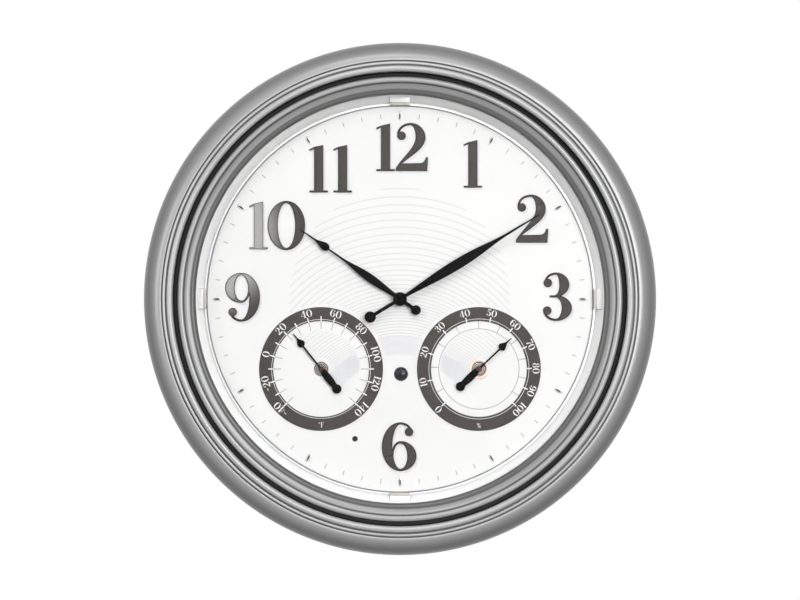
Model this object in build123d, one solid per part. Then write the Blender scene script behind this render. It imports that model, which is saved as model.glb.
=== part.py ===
from build123d import *

import os
from math import cos, hypot, pi, radians, sin

os.makedirs("parts", exist_ok=True)

# Outdoor wall clock with a thermometer, a hygrometer and four dial lamps, in millimetres.
# The front faces -Y and up is +Z. The origin lies on the axis of the hands, in the wall plane.
# A depth is a distance forward from the wall. A radius is taken from the axis of the hands.

# Overall size, and the widths of the frame's rings from the outside in
frame_r = 228.6
big_bead_w = 15.6
groove_w = 1.4
small_bead_w = 2.9
second_bead_w = 5.0
channel_w = 4.9
ridge_w = 4.4
cove_w = 7.2
lip_w = 3.5
reflector_w = 6.7
edge_ring_w = 2.8

# Depths of the case, from the wall forwards
cover_t = 2.5
rear_seal_t = 0.5
board_front_gap = 2.9
dial_t = 1.5
hands_space = 11.0
glass_t = 3.0
gasket_t = 1.0
lip_t = 3.0
bezel_seal_t = 2.0
frame_rise = 18.0

# Frame
wall = 3.0
bead_h = 24.0
bead_drop = 3.0
groove_deep = 2.4
taper_d = 14.0
taper_in = 1.6
back_in = 6.6
small_bead_rise = 1.4
second_bead_rise = 3.0
boss_count = 8
boss_r = 4.0
boss_first_deg = 22.5

# Inner bezel
flange_t = 3.0
flange_gap = 0.8
ridge_down = 7.5
ridge_rise = 1.9
lip_rise = 5.5
lip_edge_t = 1.0
skirt_t = 2.4
skirt_len = 6.5
bezel_gap = 0.4
glass_lap = 6.5
seat_gap = 0.6

# Reflector, dial and its trim
reflector_t = 1.5
rim_gap = 0.3
rim_t = 1.6
edge_ring_t = 1.2
edge_ring_chamfer = 0.4
numeral_t = 0.8
marker_t = 0.6
scale_t = 0.6

# Rear cover
ring_wall_t = 3.0
ring_wall_in = 3.0
rib_count = 12
rib_t = 2.0
rib_first_deg = 15.0
lead_notch_w = 6.0
cover_rim_gap = 0.2
seal_rim_gap = 0.2

# Screws, all driven from behind
screw_clear = 0.05
slot_w = 0.8
slot_deep_share = 0.5
case_screw = {"head_r": 3.0, "head_t": 1.2, "shank_r": 1.5, "length": 12.0}
bezel_screw = {"head_r": 2.6, "head_t": 1.8, "shank_r": 1.4, "length": 5.4}
gauge_screw = {"head_r": 1.9, "head_t": 1.3, "shank_r": 1.0, "length": 4.4}
head_gap = 0.2

# Battery well and access door
cell_r = 7.1
cell_body_len = 49.2
cell_nub_len = 1.2
cell_nub_r = 2.75
contact_t = 0.5
cell_rows = 4
cell_row_gap = 0.3
cell_seat_gap = 0.1
cell_end_gap = 0.1
cell_back_gap = 3.0
contact_rib_t = 1.2
well_wall = 4.3
well_floor_t = 2.0
well_side_room = 2.0
well_switch_room = 13.5
door_ledge = 2.0
door_gap = 0.3
door_seat_gap = 0.2
door_t = 2.5
hinge_r = 3.0
hinge_drop = 4.0
hinge_gap_z = 2.2
hinge_arm_w = 10.0
hinge_inset = 10.5
hinge_side_gap = 0.4
hinge_ear_w = 4.0
hinge_pin_r = 1.2
hinge_run = 0.05
finger_r = 9.0
finger_deep = 1.2

# Keyhole hanger
hanger_gap = 9.5
keyhole_r = 5.0
keyhole_slot_w = 5.0
keyhole_rise = 11.0
hanger_plate_t = 1.5
hanger_plate_w = 34.0
hanger_margin = 8.0
hanger_window_margin = 2.0
rivet_r = 1.6
rivet_head_r = 3.0
rivet_head_t = 1.2
rivet_x = 12.0

# Movement
move_end_gap = 0.8
move_back_gap = 1.2
move_wheel_gap = 1.0
move_wall = 1.5
move_cover_t = 1.5
move_window_gap = 0.5
move_split_t = 1.0
washer_t = 0.8
washer_r = 9.0
bushing_r = 4.0
bushing_len = 5.7
tube_r = 2.55
arbor_r = 1.6
run_clear = 0.05
dial_hole_gap = 0.2
nut_flat_r = 5.0
nut_t = 2.2
train_z = 12.0
tooth_w_share = 0.42
tooth_foot_share = 0.72
tooth_crest_share = 0.26
tooth_root_share = 1.2
tooth_tip_share = 0.8
pinion_teeth = 12
wheel_teeth = 36
train_pinion_teeth = 10
hour_teeth = 40
wheel_t = 1.4
pinion_t = 1.8
hour_wheel_drop = 2.6
minute_wheel_drop = 3.0
pivot_r = 0.8
pivot_seat_share = 0.67
stem_r = 1.2
knob_r = 6.0
knob_t = 2.8
knob_gap = 0.2
knob_flutes = 18
knob_flute_r = 0.7
motor_gap = 1.0
motor_cover_gap = 2.3
motor_wheel_gap = 1.5
motor_foot_gap = 2.5

# Hands: depths above the dial face, then how far each tip stays inside the ring outside it
hand_t = 0.8
hour_hand_up = 4.0
minute_hand_up = 6.6
hand_boss_r = 6.2
hand_nut_r = 3.2
hand_nut_t = 2.0
thread_r = 1.2
thread_len = 2.4
minute_hand_gap = 26.7
hour_hand_gap = 37.5
hour_angle = 304.9
minute_angle = 58.8

# Gauges
gauge_below_deg = 41.56
gauge_margin = 22.5
gauge_gap = 30.4
gauge_ring_w = 12.5
gauge_hole_r = 6.6
eyelet_r = 9.2
eyelet_t = 0.4
cup_r = 11.5
cup_wall = 1.2
cup_deep = 12.5
cup_boss_r = 2.5
cup_boss_len = 2.3
ear_reach = 3.0
ear_w = 6.0
ear_t = 2.0
dial_boss_r = 2.2
dial_boss_len = 3.5
shaft_r = 0.9
collet_r = 1.7
collet_len = 3.8
coil_strip_t = 0.5
coil_strip_w = 3.0
coil_pitch = 1.4
coil_turns = 5
coil_clear = 0.3
coil_up = 5.0
pointer_up = 2.0
pointer_t = 0.6
pointer_gap = 2.7
pointer_hub_t = 0.6
thermometer_angle = -38.4
hygrometer_angle = 46.5

# Lamps and their electrics
lamp_w = 18.0
lamp_lens_in = 0.9
lamp_lens_t = 2.7
lamp_housing_t = 5.0
lamp_lens_h = 5.8
lamp_housing_h = 6.8
pocket_gap = 0.3
wire_r = 1.2
wire_branch_r = 0.8
wire_ring_out = 3.5
board_w = 42.0
board_h = 30.0
board_t = 1.6
board_gap = 1.0
pillar_r = 2.5
pillar_place_share = 0.33
sensor_place_shares = (0.0052, -0.3895)
sensor_ring_r = 6.06
sensor_barrel_r = 4.9
sensor_dome_r = 4.5
sensor_flange_t = 0.8
sensor_dome_t = 1.2
photocell_place_shares = (-0.2337, -0.7262)
photocell_r = 2.5
photocell_stem_r = 2.0
photocell_can_r = 3.2
photocell_can_t = 3.0
hole_gap = 0.2
switch_w = 16.0
switch_h = 8.0
switch_t = 7.0
switch_margin = 2.75
slider_w = 5.0
slider_h = 3.0
slider_out = 3.0
slider_travel = 3.0
slider_clear = 0.1
groove_t = 2.5

overrun = 1.0

# Radii that follow, from the outside in
bead_in_r = frame_r - big_bead_w
small_bead_r = bead_in_r - groove_w
groove_2_r = small_bead_r - small_bead_w
second_bead_r = groove_2_r - groove_w
channel_r = second_bead_r - second_bead_w
frame_lip_r = channel_r - channel_w
bezel_r = frame_lip_r - bezel_gap
cove_r = bezel_r - ridge_w
lip_top_r = cove_r - cove_w
lip_r = lip_top_r - lip_w
reflector_in_r = lip_r - reflector_w
edge_ring_r = reflector_in_r - bezel_gap
sight_r = edge_ring_r - edge_ring_w
dial_r = edge_ring_r + edge_ring_t
glass_r = lip_r + glass_lap
skirt_r = glass_r + seat_gap
back_r = frame_r - back_in
boss_ring_r = bead_in_r - groove_w
inner_wall_r = channel_r + wall
ring_wall_r = dial_r - ring_wall_in
wire_ring_r = dial_r + wire_ring_out

# Places on the dial that follow. Each gauge touches a circle inside the dial's edge, and half of the
# gap between the two lies on either side of the middle.
gauge_reach = sight_r - gauge_margin
gauge_cos = cos(radians(gauge_below_deg))
gauge_ring_r = (gauge_reach * gauge_cos - gauge_gap / 2) / (1 + gauge_cos)
gauge_x = (gauge_reach - gauge_ring_r) * gauge_cos
gauge_z = -(gauge_reach - gauge_ring_r) * sin(radians(gauge_below_deg))
pointer_tip_r = gauge_ring_r - gauge_ring_w - pointer_gap
minute_tip_r = sight_r - minute_hand_gap
hour_tip_r = minute_tip_r - hour_hand_gap
sensor_x, sensor_z = (share * sight_r for share in sensor_place_shares)
photocell_x, photocell_z = (share * sight_r for share in photocell_place_shares)

# Depths that follow, from the wall forwards
frame_back_d = cover_t + rear_seal_t
well_back_d = cover_t + door_seat_gap
well_floor_d = well_back_d + cell_back_gap + 2 * cell_r + cell_seat_gap
well_front_d = well_floor_d + well_floor_t
board_back_d = well_front_d + board_gap
board_d = board_back_d + board_t
dial_back_d = board_d + board_front_gap
dial_d = dial_back_d + dial_t
glass_back_d = dial_d + hands_space
glass_d = glass_back_d + glass_t
bezel_back_d = glass_d + gasket_t
flange_back_d = bezel_back_d - flange_t
lip_front_d = bezel_back_d + lip_t
frame_depth = bezel_back_d + frame_rise
bead_crest_d = frame_depth - bead_drop
bead_spring_d = bead_crest_d - bead_h
groove_floor_d = bead_crest_d - groove_deep
inner_top_d = groove_floor_d - wall
ridge_crest_d = frame_depth - ridge_down
ring_top_d = dial_d + edge_ring_t

# Movement, battery well and door that follow
train_module = 2 * train_z / (pinion_teeth + wheel_teeth)
hour_module = 2 * train_z / (train_pinion_teeth + hour_teeth)
hour_wheel_r = hour_module * (hour_teeth / 2 + tooth_tip_share)
cell_half = (cell_body_len + cell_nub_len) / 2
cell_room_h = 2 * cell_r + 2 * cell_end_gap + cell_seat_gap
split_z = -hour_wheel_r - move_wheel_gap - move_split_t
room_half_w = cell_half + contact_t + move_end_gap
room_half_h = cell_room_h - split_z
move_half_w = room_half_w + move_wall
move_half_h = room_half_h + move_wall
move_deep = 2 * cell_r + cell_seat_gap + move_back_gap + move_wall
window_half_w = move_half_w + move_window_gap
window_half_h = move_half_h + move_window_gap
well_half_w = window_half_w + well_side_room
well_top_z = window_half_h + well_switch_room
well_out_w = well_half_w + well_wall
door_half_w = well_half_w + door_ledge
door_top_z = well_top_z + door_ledge
hinge_arm_x = door_half_w - hinge_inset
hanger_z = ring_wall_r - ring_wall_t - hanger_gap - hanger_margin - keyhole_slot_w / 2 - keyhole_rise


def chain(start, *steps):
    """Closed run of edges. A point draws a line, a (corner, end) pair a quarter ellipse, and a
    (control, control, end) triple a free curve."""
    edges = []
    here = start
    for step in steps + (start,):
        if not isinstance(step[0], tuple):
            if hypot(step[0] - here[0], step[1] - here[1]) > 0:
                edges.append(Line(here, step))
            here = step
        elif len(step) == 2:
            corner, end = step
            ease = (4 / 3) * (2**0.5 - 1)
            first = tuple(h + ease * (c - h) for h, c in zip(here, corner))
            second = tuple(e + ease * (c - e) for e, c in zip(end, corner))
            edges.append(Bezier(here, first, second, end))
            here = end
        else:
            edges.append(Bezier(here, *step))
            here = step[2]
    return make_face(edges)


def sized(size, points):
    """Points given as shares, scaled to a size."""
    if isinstance(points[0], tuple):
        return tuple(sized(size, point) for point in points)
    return (size * points[0], size * points[1])


def share_outline(size, outline_shares):
    return chain(*sized(size, outline_shares))


def deep(point):
    """A (radius, depth) point or step, in the plane that is turned about the axis."""
    if isinstance(point[0], tuple):
        return tuple(deep(part) for part in point)
    return (point[0], -point[1])


def turned(start, *steps):
    face = chain(deep(start), *[deep(step) for step in steps])
    return revolve(face, Axis.Y)


def front(depth):
    return Plane.XZ.offset(depth)


def plate(sketch, back, top):
    """A flat shape drawn as seen from the front, from one depth to another."""
    return extrude(front(back) * sketch, amount=top - back)


def rod(radius, back, top, x=0, z=0):
    return plate(Pos(x, z) * Circle(radius), back, top)


def tube(outer, inner, back, top, x=0, z=0):
    return plate(Pos(x, z) * (Circle(outer) - Circle(inner)), back, top)


def block(x0, x1, back, top, z0, z1):
    return plate(Pos((x0 + x1) / 2, (z0 + z1) / 2) * Rectangle(x1 - x0, z1 - z0), back, top)


def bar_x(radius, x0, x1, depth, z):
    """A round bar along X."""
    return extrude(Plane.YZ.offset(x0) * (Pos(-depth, z) * Circle(radius)), amount=x1 - x0)


def about(shape, degrees):
    """Turned clockwise about the hands' axis, as seen from the front."""
    return shape.rotate(Axis.Y, degrees)


def moved(shape, x, z):
    return Pos(x, 0, z) * shape


def solids_of(*shapes):
    found = []
    for shape in shapes:
        found += shape.solids()
    return found


def keep(name, *shapes):
    """Write one sub-part, as one solid or as a group of like solids."""
    solids = solids_of(*shapes)
    shape = solids[0] if len(solids) == 1 else Compound(solids)
    export_step(shape, "parts/" + name + ".step")


def screw(x, z, seat, size, radius=0, angle=0):
    """A pan head screw whose head bears on its seat from behind."""
    head = rod(size["head_r"], seat - size["head_t"], seat)
    slot_deep = size["head_t"] * slot_deep_share
    reach = size["head_r"] * slot_deep_share
    back = seat - size["head_t"]
    for half_w, half_h in ((slot_w / 2, reach), (reach, slot_w / 2)):
        head -= block(-half_w, half_w, back - overrun, back + slot_deep, -half_h, half_h)
    shank = rod(size["shank_r"], seat, seat + size["length"])
    whole = moved(head + shank, x + radius, z)
    return about(whole, angle)


def ring_angles(count, first):
    return [first + 360 / count * number for number in range(count)]


# Outer frame: one moulded shell. The big bead rolls over to the side wall, and the lip under the
# channel carries the inner bezel.
frame = turned(
    (back_r, frame_back_d),
    (frame_r - taper_in, taper_d),
    (frame_r, bead_spring_d),
    ((frame_r, bead_crest_d), (bead_in_r, bead_crest_d)),
    (bead_in_r, groove_floor_d),
    (small_bead_r, groove_floor_d),
    (small_bead_r, bead_crest_d - small_bead_rise),
    ((small_bead_r, bead_crest_d), (small_bead_r - small_bead_w / 2, bead_crest_d)),
    ((groove_2_r, bead_crest_d), (groove_2_r, bead_crest_d - small_bead_rise)),
    (groove_2_r, groove_floor_d),
    (second_bead_r, groove_floor_d),
    (second_bead_r, frame_depth - second_bead_rise),
    ((second_bead_r, frame_depth), (second_bead_r - second_bead_w / 2, frame_depth)),
    ((channel_r, frame_depth), (channel_r, frame_depth - second_bead_rise)),
    (channel_r, lip_front_d),
    (frame_lip_r, lip_front_d),
    (frame_lip_r, bezel_back_d),
    (inner_wall_r, bezel_back_d),
    (inner_wall_r, inner_top_d),
    (bead_in_r, inner_top_d),
    ((frame_r - wall, inner_top_d), (frame_r - wall, bead_spring_d)),
    (frame_r - taper_in - wall, taper_d),
    (back_r - wall, frame_back_d),
)
bezel_screw_r = (frame_lip_r + inner_wall_r) / 2
for angle in ring_angles(boss_count, boss_first_deg):
    boss = rod(boss_r, cover_t, inner_top_d + wall / 2, boss_ring_r)
    hole_r = case_screw["shank_r"] + screw_clear
    boss -= rod(hole_r, cover_t, cover_t + case_screw["length"] + overrun, boss_ring_r)
    frame += about(boss, angle)
for angle in ring_angles(boss_count, 0):
    hole_r = bezel_screw["shank_r"] + screw_clear
    hole_top_d = flange_back_d + bezel_screw["length"] + screw_clear
    frame -= about(rod(hole_r, bezel_back_d - overrun, hole_top_d, bezel_screw_r), angle)
keep("outer_frame", frame)

# Inner bezel: rolled lip, hollow cove and bright ridge, with a flange under the frame's lip and a
# skirt around the glass.
flange_r = inner_wall_r - flange_gap
ridge_foot_d = ridge_crest_d - ridge_rise
lip_top_d = bezel_back_d + lip_rise
bezel = turned(
    (skirt_r, bezel_back_d - skirt_len),
    (skirt_r, bezel_back_d),
    (lip_r, bezel_back_d),
    (lip_r, bezel_back_d + lip_edge_t),
    ((lip_r, lip_top_d), (lip_top_r, lip_top_d)),
    ((cove_r, lip_top_d), (cove_r, ridge_foot_d)),
    ((cove_r, ridge_crest_d), (cove_r + ridge_w / 2, ridge_crest_d)),
    ((bezel_r, ridge_crest_d), (bezel_r, ridge_foot_d)),
    (bezel_r, bezel_back_d),
    (flange_r, bezel_back_d),
    (flange_r, flange_back_d),
    (skirt_r + skirt_t, flange_back_d),
    (skirt_r + skirt_t, bezel_back_d - skirt_len),
)
for angle in ring_angles(boss_count, 0):
    hole_r = bezel_screw["shank_r"] + screw_clear
    hole = rod(hole_r, flange_back_d - overrun, bezel_back_d + overrun, bezel_screw_r)
    bezel -= about(hole, angle)
keep("inner_bezel", bezel)

# Rubber seal in the channel between the two rings
seal_in_r = bezel_r + screw_clear
seal_out_r = channel_r - screw_clear
keep("bezel_seal", tube(seal_out_r, seal_in_r, lip_front_d, lip_front_d + bezel_seal_t))
bezel_screws = [
    screw(0, 0, flange_back_d, bezel_screw, bezel_screw_r, angle) for angle in ring_angles(boss_count, 0)
]
keep("bezel_screws", *bezel_screws)

# Glass and its gasket
keep("glass_lens", rod(glass_r, glass_back_d, glass_d))
keep("glass_gasket", tube(glass_r - rim_gap, lip_r + edge_ring_t, glass_d, bezel_back_d))

# White reflector: a cone from the dial up to the glass, with a rim around the dial's edge, a flange
# under the glass and four pockets for the lamps.
rim_r = dial_r + rim_gap
cone_top_r = lip_r + rim_gap
flange_low_d = glass_back_d - reflector_t
reflector = turned(
    (reflector_in_r, dial_d),
    (cone_top_r, glass_back_d),
    (skirt_r - rim_gap, glass_back_d),
    (skirt_r - rim_gap, flange_low_d),
    (cone_top_r + reflector_t, flange_low_d),
    (rim_r + rim_t, dial_d + rim_gap),
    (rim_r + rim_t, dial_back_d),
    (rim_r, dial_back_d),
    (rim_r, dial_d),
)
lamp_in_r = sight_r + lamp_lens_in
housing_in_r = lamp_in_r + lamp_lens_t
housing_out_r = housing_in_r + lamp_housing_t
lamp_angles = (0, 90, 180, 270)
for angle in lamp_angles:
    pocket = block(
        -lamp_w / 2 - pocket_gap,
        lamp_w / 2 + pocket_gap,
        ring_top_d,
        ring_top_d + lamp_housing_h + pocket_gap,
        sight_r,
        housing_out_r + overrun,
    )
    reflector -= about(pocket, angle)
keep("reflector_ring", reflector)

# Silver trim ring on the dial
edge_ring = turned(
    (sight_r, dial_d),
    (sight_r, ring_top_d - edge_ring_chamfer),
    (sight_r + edge_ring_chamfer, ring_top_d),
    (edge_ring_r, ring_top_d),
    (edge_ring_r, dial_d),
)
keep("dial_edge_ring", edge_ring)

# Dial plate, with bosses behind it for the gauges' screws
ear_z = cup_r + ear_reach
ear_back_d = dial_back_d - dial_boss_len - ear_t
dial = rod(dial_r, dial_back_d, dial_d)
for side in (-1, 1):
    for way in (-1, 1):
        boss_z = gauge_z + way * ear_z
        dial += rod(dial_boss_r, dial_back_d - dial_boss_len, dial_back_d, side * gauge_x, boss_z)
        hole_top_d = ear_back_d + gauge_screw["length"] + screw_clear
        hole_r = gauge_screw["shank_r"] + screw_clear
        dial -= rod(hole_r, ear_back_d, hole_top_d, side * gauge_x, boss_z)
    dial -= rod(gauge_hole_r, dial_back_d - overrun, dial_d + overrun, side * gauge_x, gauge_z)
dial -= rod(bushing_r + dial_hole_gap, dial_back_d - overrun, dial_d + overrun)
dial -= rod(sensor_barrel_r + hole_gap, dial_back_d - overrun, dial_d + overrun, sensor_x, sensor_z)
eye_hole_r = photocell_stem_r + hole_gap
dial -= rod(eye_hole_r, dial_back_d - overrun, dial_d + overrun, photocell_x, photocell_z)
keep("dial_plate", dial)

# Applied hour markers: twelve thin ellipses, long way along the radius
marker_count = 12
marker_r_share = 0.951
marker_long_share = 0.0247
marker_wide_share = 0.0116
marker_outline = Ellipse(marker_wide_share * sight_r, marker_long_share * sight_r)
marker = plate(Pos(0, marker_r_share * sight_r) * marker_outline, dial_d, dial_d + marker_t)
markers = [about(marker, angle) for angle in ring_angles(marker_count, 0)]
keep("hour_markers", *markers)

# Numerals in the thick and thin manner, each digit drawn one unit high with its left edge at zero
hair_share = 0.03
ball_r_share = 0.082
one_shares = ((0.097, 0), (0.283, 0), (0.283, 1), (0.097, 0.955), (0, 0.91), (0, 0.882), (0.097, 0.925))
one_serif_shares = ((0, 0), (0.38, 0), (0.38, 0.03), (0, 0.03))
two_shares = (
    (0, 0),
    (0.655, 0),
    (0.675, 0.285),
    (0.64, 0.285),
    ((0.62, 0.155), (0.52, 0.155)),
    (0.115, 0.155),
    ((0.34, 0.35), (0.617, 0.48), (0.617, 0.71)),
    ((0.617, 1.01), (0.31, 1.01)),
    (0.31, 0.98),
    ((0.425, 0.98), (0.425, 0.72)),
    ((0.425, 0.5), (0.16, 0.3), (0, 0.055)),
)
three_bar_shares = ((0.16, 0.49), (0.34, 0.49), (0.34, 0.52), (0.16, 0.52))

# Round strokes: the centre, the outer half width and height, and the inner ones of a crescent
zero_bowl_shares = ((0.39, 0.5), (0.39, 0.515), (0.195, 0.485))
two_top_shares = ((0.31, 0.78), (0.275, 0.23))
two_ball_shares = (0.117, 0.745)
three_upper_shares = ((0.29, 0.755), (0.275, 0.25), (0.08, 0.22))
three_lower_shares = ((0.29, 0.255), (0.33, 0.265), (0.13, 0.235))
three_top_shares = ((0.29, 0.79), (0.24, 0.215))
three_foot_shares = ((0.29, 0.21), (0.265, 0.22))
three_high_ball_shares = (0.117, 0.79)
three_low_ball_shares = (0.105, 0.2)
nine_stroke_shares = ((0.335, 0.5), (0.385, 0.51), (0.18, 0.48))
nine_loop_shares = ((0.335, 0.7), (0.335, 0.31), (0.155, 0.28))
nine_closing_shares = ((0.335, 0.7), (0.185, 0.31), (0.155, 0.28))
nine_foot_shares = ((0.335, 0.19), (0.24, 0.2))
nine_ball_shares = (0.15, 0.185)
six_turn_shares = (0.72, 1)


def crescent(size, stroke_shares, side):
    """Half of an ellipse less a slimmer one inside it: the swelling stroke of a round digit."""
    (x, z), outer, inner = stroke_shares
    return share_outline(
        size,
        (
            (x, z + outer[1]),
            ((x + side * outer[0], z + outer[1]), (x + side * outer[0], z)),
            ((x + side * outer[0], z - outer[1]), (x, z - outer[1])),
            (x, z - inner[1]),
            ((x + side * inner[0], z - inner[1]), (x + side * inner[0], z)),
            ((x + side * inner[0], z + inner[1]), (x, z + inner[1])),
        ),
    )


def hairline(size, stroke_shares, side_x, side_z):
    """Quarter of a thin elliptical ring, from the vertical end to the sideways end."""
    (x, z), (a, b) = stroke_shares
    inner_a = a - hair_share
    inner_b = b - hair_share
    return share_outline(
        size,
        (
            (x, z + side_z * b),
            ((x + side_x * a, z + side_z * b), (x + side_x * a, z)),
            (x + side_x * inner_a, z),
            ((x + side_x * inner_a, z + side_z * inner_b), (x, z + side_z * inner_b)),
        ),
    )


def ball(size, place_shares):
    return Pos(*sized(size, place_shares)) * Circle(size * ball_r_share)


def digit_zero(size):
    return crescent(size, zero_bowl_shares, -1) + crescent(size, zero_bowl_shares, 1)


def digit_one(size):
    return share_outline(size, one_shares) + share_outline(size, one_serif_shares)


def digit_two(size):
    top = hairline(size, two_top_shares, -1, 1)
    return share_outline(size, two_shares) + top + ball(size, two_ball_shares)


def digit_three(size):
    bowls = crescent(size, three_upper_shares, 1) + crescent(size, three_lower_shares, 1)
    top = hairline(size, three_top_shares, -1, 1)
    foot = hairline(size, three_foot_shares, -1, -1)
    bar = share_outline(size, three_bar_shares)
    return bowls + top + foot + bar + ball(size, three_high_ball_shares) + ball(size, three_low_ball_shares)


def digit_nine(size):
    stroke = crescent(size, nine_stroke_shares, 1)
    loop = crescent(size, nine_loop_shares, -1)
    closing = crescent(size, nine_closing_shares, 1)
    foot = hairline(size, nine_foot_shares, -1, -1)
    return stroke + loop + closing + foot + ball(size, nine_ball_shares)


def digit_six(size):
    """A nine, turned over."""
    return Pos(*sized(size, six_turn_shares)) * (Rot(0, 0, 180) * digit_nine(size))


digits = {
    "0": digit_zero,
    "1": digit_one,
    "2": digit_two,
    "3": digit_three,
    "6": digit_six,
    "9": digit_nine,
}
digit_wide_shares = {"0": 0.78, "1": 0.38, "2": 0.675, "3": 0.62, "6": 0.72, "9": 0.72}
numeral_size_share = 0.2442
numeral_places_shares = {
    "12": (0.0116, 0.788, 0.034),
    "1": (0.3785, 0.702, 0),
    "2": (0.6866, 0.416, 0),
    "3": (0.815, 0.0128, 0),
    "6": (-0.0041, -0.767, 0),
    "9": (-0.8175, 0.0093, 0),
    "10": (-0.638, 0.382, 0.012),
    "11": (-0.36, 0.677, 0.128),
}
numeral_size = numeral_size_share * sight_r
for text, (x_share, z_share, gap_share) in numeral_places_shares.items():
    wide_share = sum(digit_wide_shares[digit] for digit in text) + gap_share * (len(text) - 1)
    left_share = -wide_share / 2
    solids = []
    for digit in text:
        x = x_share * sight_r + left_share * numeral_size
        z = z_share * sight_r - numeral_size / 2
        sketch = Pos(x, z) * digits[digit](numeral_size)
        solids.append(plate(sketch, dial_d, dial_d + numeral_t))
        left_share += digit_wide_shares[digit] + gap_share
    keep("numeral_" + text, *solids)

# Scale rings of the two gauges, and the eyelet of the hygrometer's hole
ring_in_r = gauge_ring_r - gauge_ring_w
for name, side in (("thermometer", -1), ("hygrometer", 1)):
    keep(name + "_scale", tube(gauge_ring_r, ring_in_r, dial_d, dial_d + scale_t, side * gauge_x, gauge_z))
keep("hygrometer_eyelet", tube(eyelet_r, gauge_hole_r, dial_d, dial_d + eyelet_t, gauge_x, gauge_z))

# Gauges: a cup behind the dial holds a spiral strip that turns the shaft and its pointer
cup_back_d = dial_back_d - cup_deep
coil_back_d = cup_back_d + coil_up
coil_first_r = collet_r + coil_clear + coil_strip_t / 2
coil_end_x = coil_first_r + coil_pitch * coil_turns
half_turn_steps = 24


def spiral_arc(number, offset):
    """One half turn: centre, radius and which side of the X axis it runs on."""
    centre = coil_pitch / 2 if number % 2 else 0
    radius = coil_first_r + coil_pitch / 2 * number + offset
    return centre, radius, -1 if number % 2 else 1


def spiral_edge(offset):
    edges = []
    for number in range(2 * coil_turns):
        centre, radius, way = spiral_arc(number, offset)
        start = (centre + way * radius, 0)
        end = (centre - way * radius, 0)
        edges.append(ThreePointArc(start, (centre, way * radius), end))
    return edges


def spiral_points():
    points = []
    for number in range(2 * coil_turns):
        centre, radius, way = spiral_arc(number, 0)
        for step in range(half_turn_steps):
            turn = pi * step / half_turn_steps
            points.append((centre + way * radius * cos(turn), way * radius * sin(turn)))
    return points


half = coil_strip_t / 2
coil_face = make_face(
    spiral_edge(half)
    + spiral_edge(-half)
    + [Line((coil_first_r - half, 0), (coil_first_r + half, 0))]
    + [Line((coil_end_x - half, 0), (coil_end_x + half, 0))]
)
points = spiral_points()
least = min(
    hypot(a[0] - b[0], a[1] - b[1])
    for number, a in enumerate(points)
    for b in points[number + half_turn_steps * 3 // 2 :]
)
print("gauge coil: least gap to itself", round(least - coil_strip_t, 2), "mm")

pointer_shares = (
    (-0.019, 0),
    (-0.019, 0.64),
    ((-0.087, 0.66), (-0.087, 0.703)),
    ((-0.087, 0.77), (-0.03, 0.80), (-0.018, 0.86)),
    (-0.009, 1),
    (0.009, 1),
    (0.018, 0.86),
    ((0.03, 0.80), (0.087, 0.77), (0.087, 0.703)),
    ((0.087, 0.66), (0.019, 0.64)),
    (0.019, 0),
    (0.06, -0.05),
    ((0.095, -0.2), (0.09, -0.35), (0.06, -0.5)),
    (-0.06, -0.5),
    ((-0.09, -0.35), (-0.095, -0.2), (-0.06, -0.05)),
)
pointer_tail_share = 0.566
pointer_tail_r_share = 0.104
pointer_d = dial_d + pointer_up
for name, side, rest_angle in (
    ("thermometer", -1, thermometer_angle),
    ("hygrometer", 1, hygrometer_angle),
):
    x = side * gauge_x
    cup = rod(cup_r, cup_back_d, dial_back_d)
    cup -= rod(cup_r - cup_wall, cup_back_d + cup_wall, dial_back_d + overrun)
    cup += rod(cup_boss_r, cup_back_d, cup_back_d + cup_wall + cup_boss_len)
    cup -= rod(shaft_r + run_clear, cup_back_d - overrun, dial_back_d)
    for way in (-1, 1):
        near = way * (cup_r - cup_wall / 2)
        far = way * (ear_z + ear_reach)
        ear = block(-ear_w / 2, ear_w / 2, ear_back_d, ear_back_d + ear_t, min(near, far), max(near, far))
        hole_r = gauge_screw["shank_r"] + screw_clear
        ear -= rod(hole_r, ear_back_d - overrun, ear_back_d + ear_t + overrun, 0, way * ear_z)
        cup += ear
    post_x = coil_end_x + coil_strip_t / 2
    cup += block(post_x, cup_r - cup_wall / 2, cup_back_d, coil_back_d + coil_strip_w, 0, coil_strip_w)
    keep(name + "_housing", moved(cup, x, gauge_z))
    keep(name + "_coil", moved(plate(coil_face, coil_back_d, coil_back_d + coil_strip_w), x, gauge_z))
    shaft = rod(shaft_r, cup_back_d + rim_gap, pointer_d + pointer_t)
    collet_d = coil_back_d + (coil_strip_w - collet_len) / 2
    shaft += rod(collet_r, collet_d, collet_d + collet_len)
    keep(name + "_shaft", moved(shaft, x, gauge_z))
    outline = share_outline(pointer_tip_r, pointer_shares)
    outline += Pos(0, -pointer_tail_share * pointer_tip_r) * Circle(pointer_tail_r_share * pointer_tip_r)
    outline += Circle(collet_r + pointer_hub_t)
    pointer = plate(outline, pointer_d, pointer_d + pointer_t)
    pointer -= rod(shaft_r, pointer_d - overrun, pointer_d + pointer_t + overrun)
    keep(name + "_pointer", moved(about(pointer, rest_angle), x, gauge_z))

gauge_screws = []
for side in (-1, 1):
    for way in (-1, 1):
        gauge_screws.append(screw(side * gauge_x, gauge_z + way * ear_z, ear_back_d, gauge_screw))
keep("gauge_screws", *gauge_screws)

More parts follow.
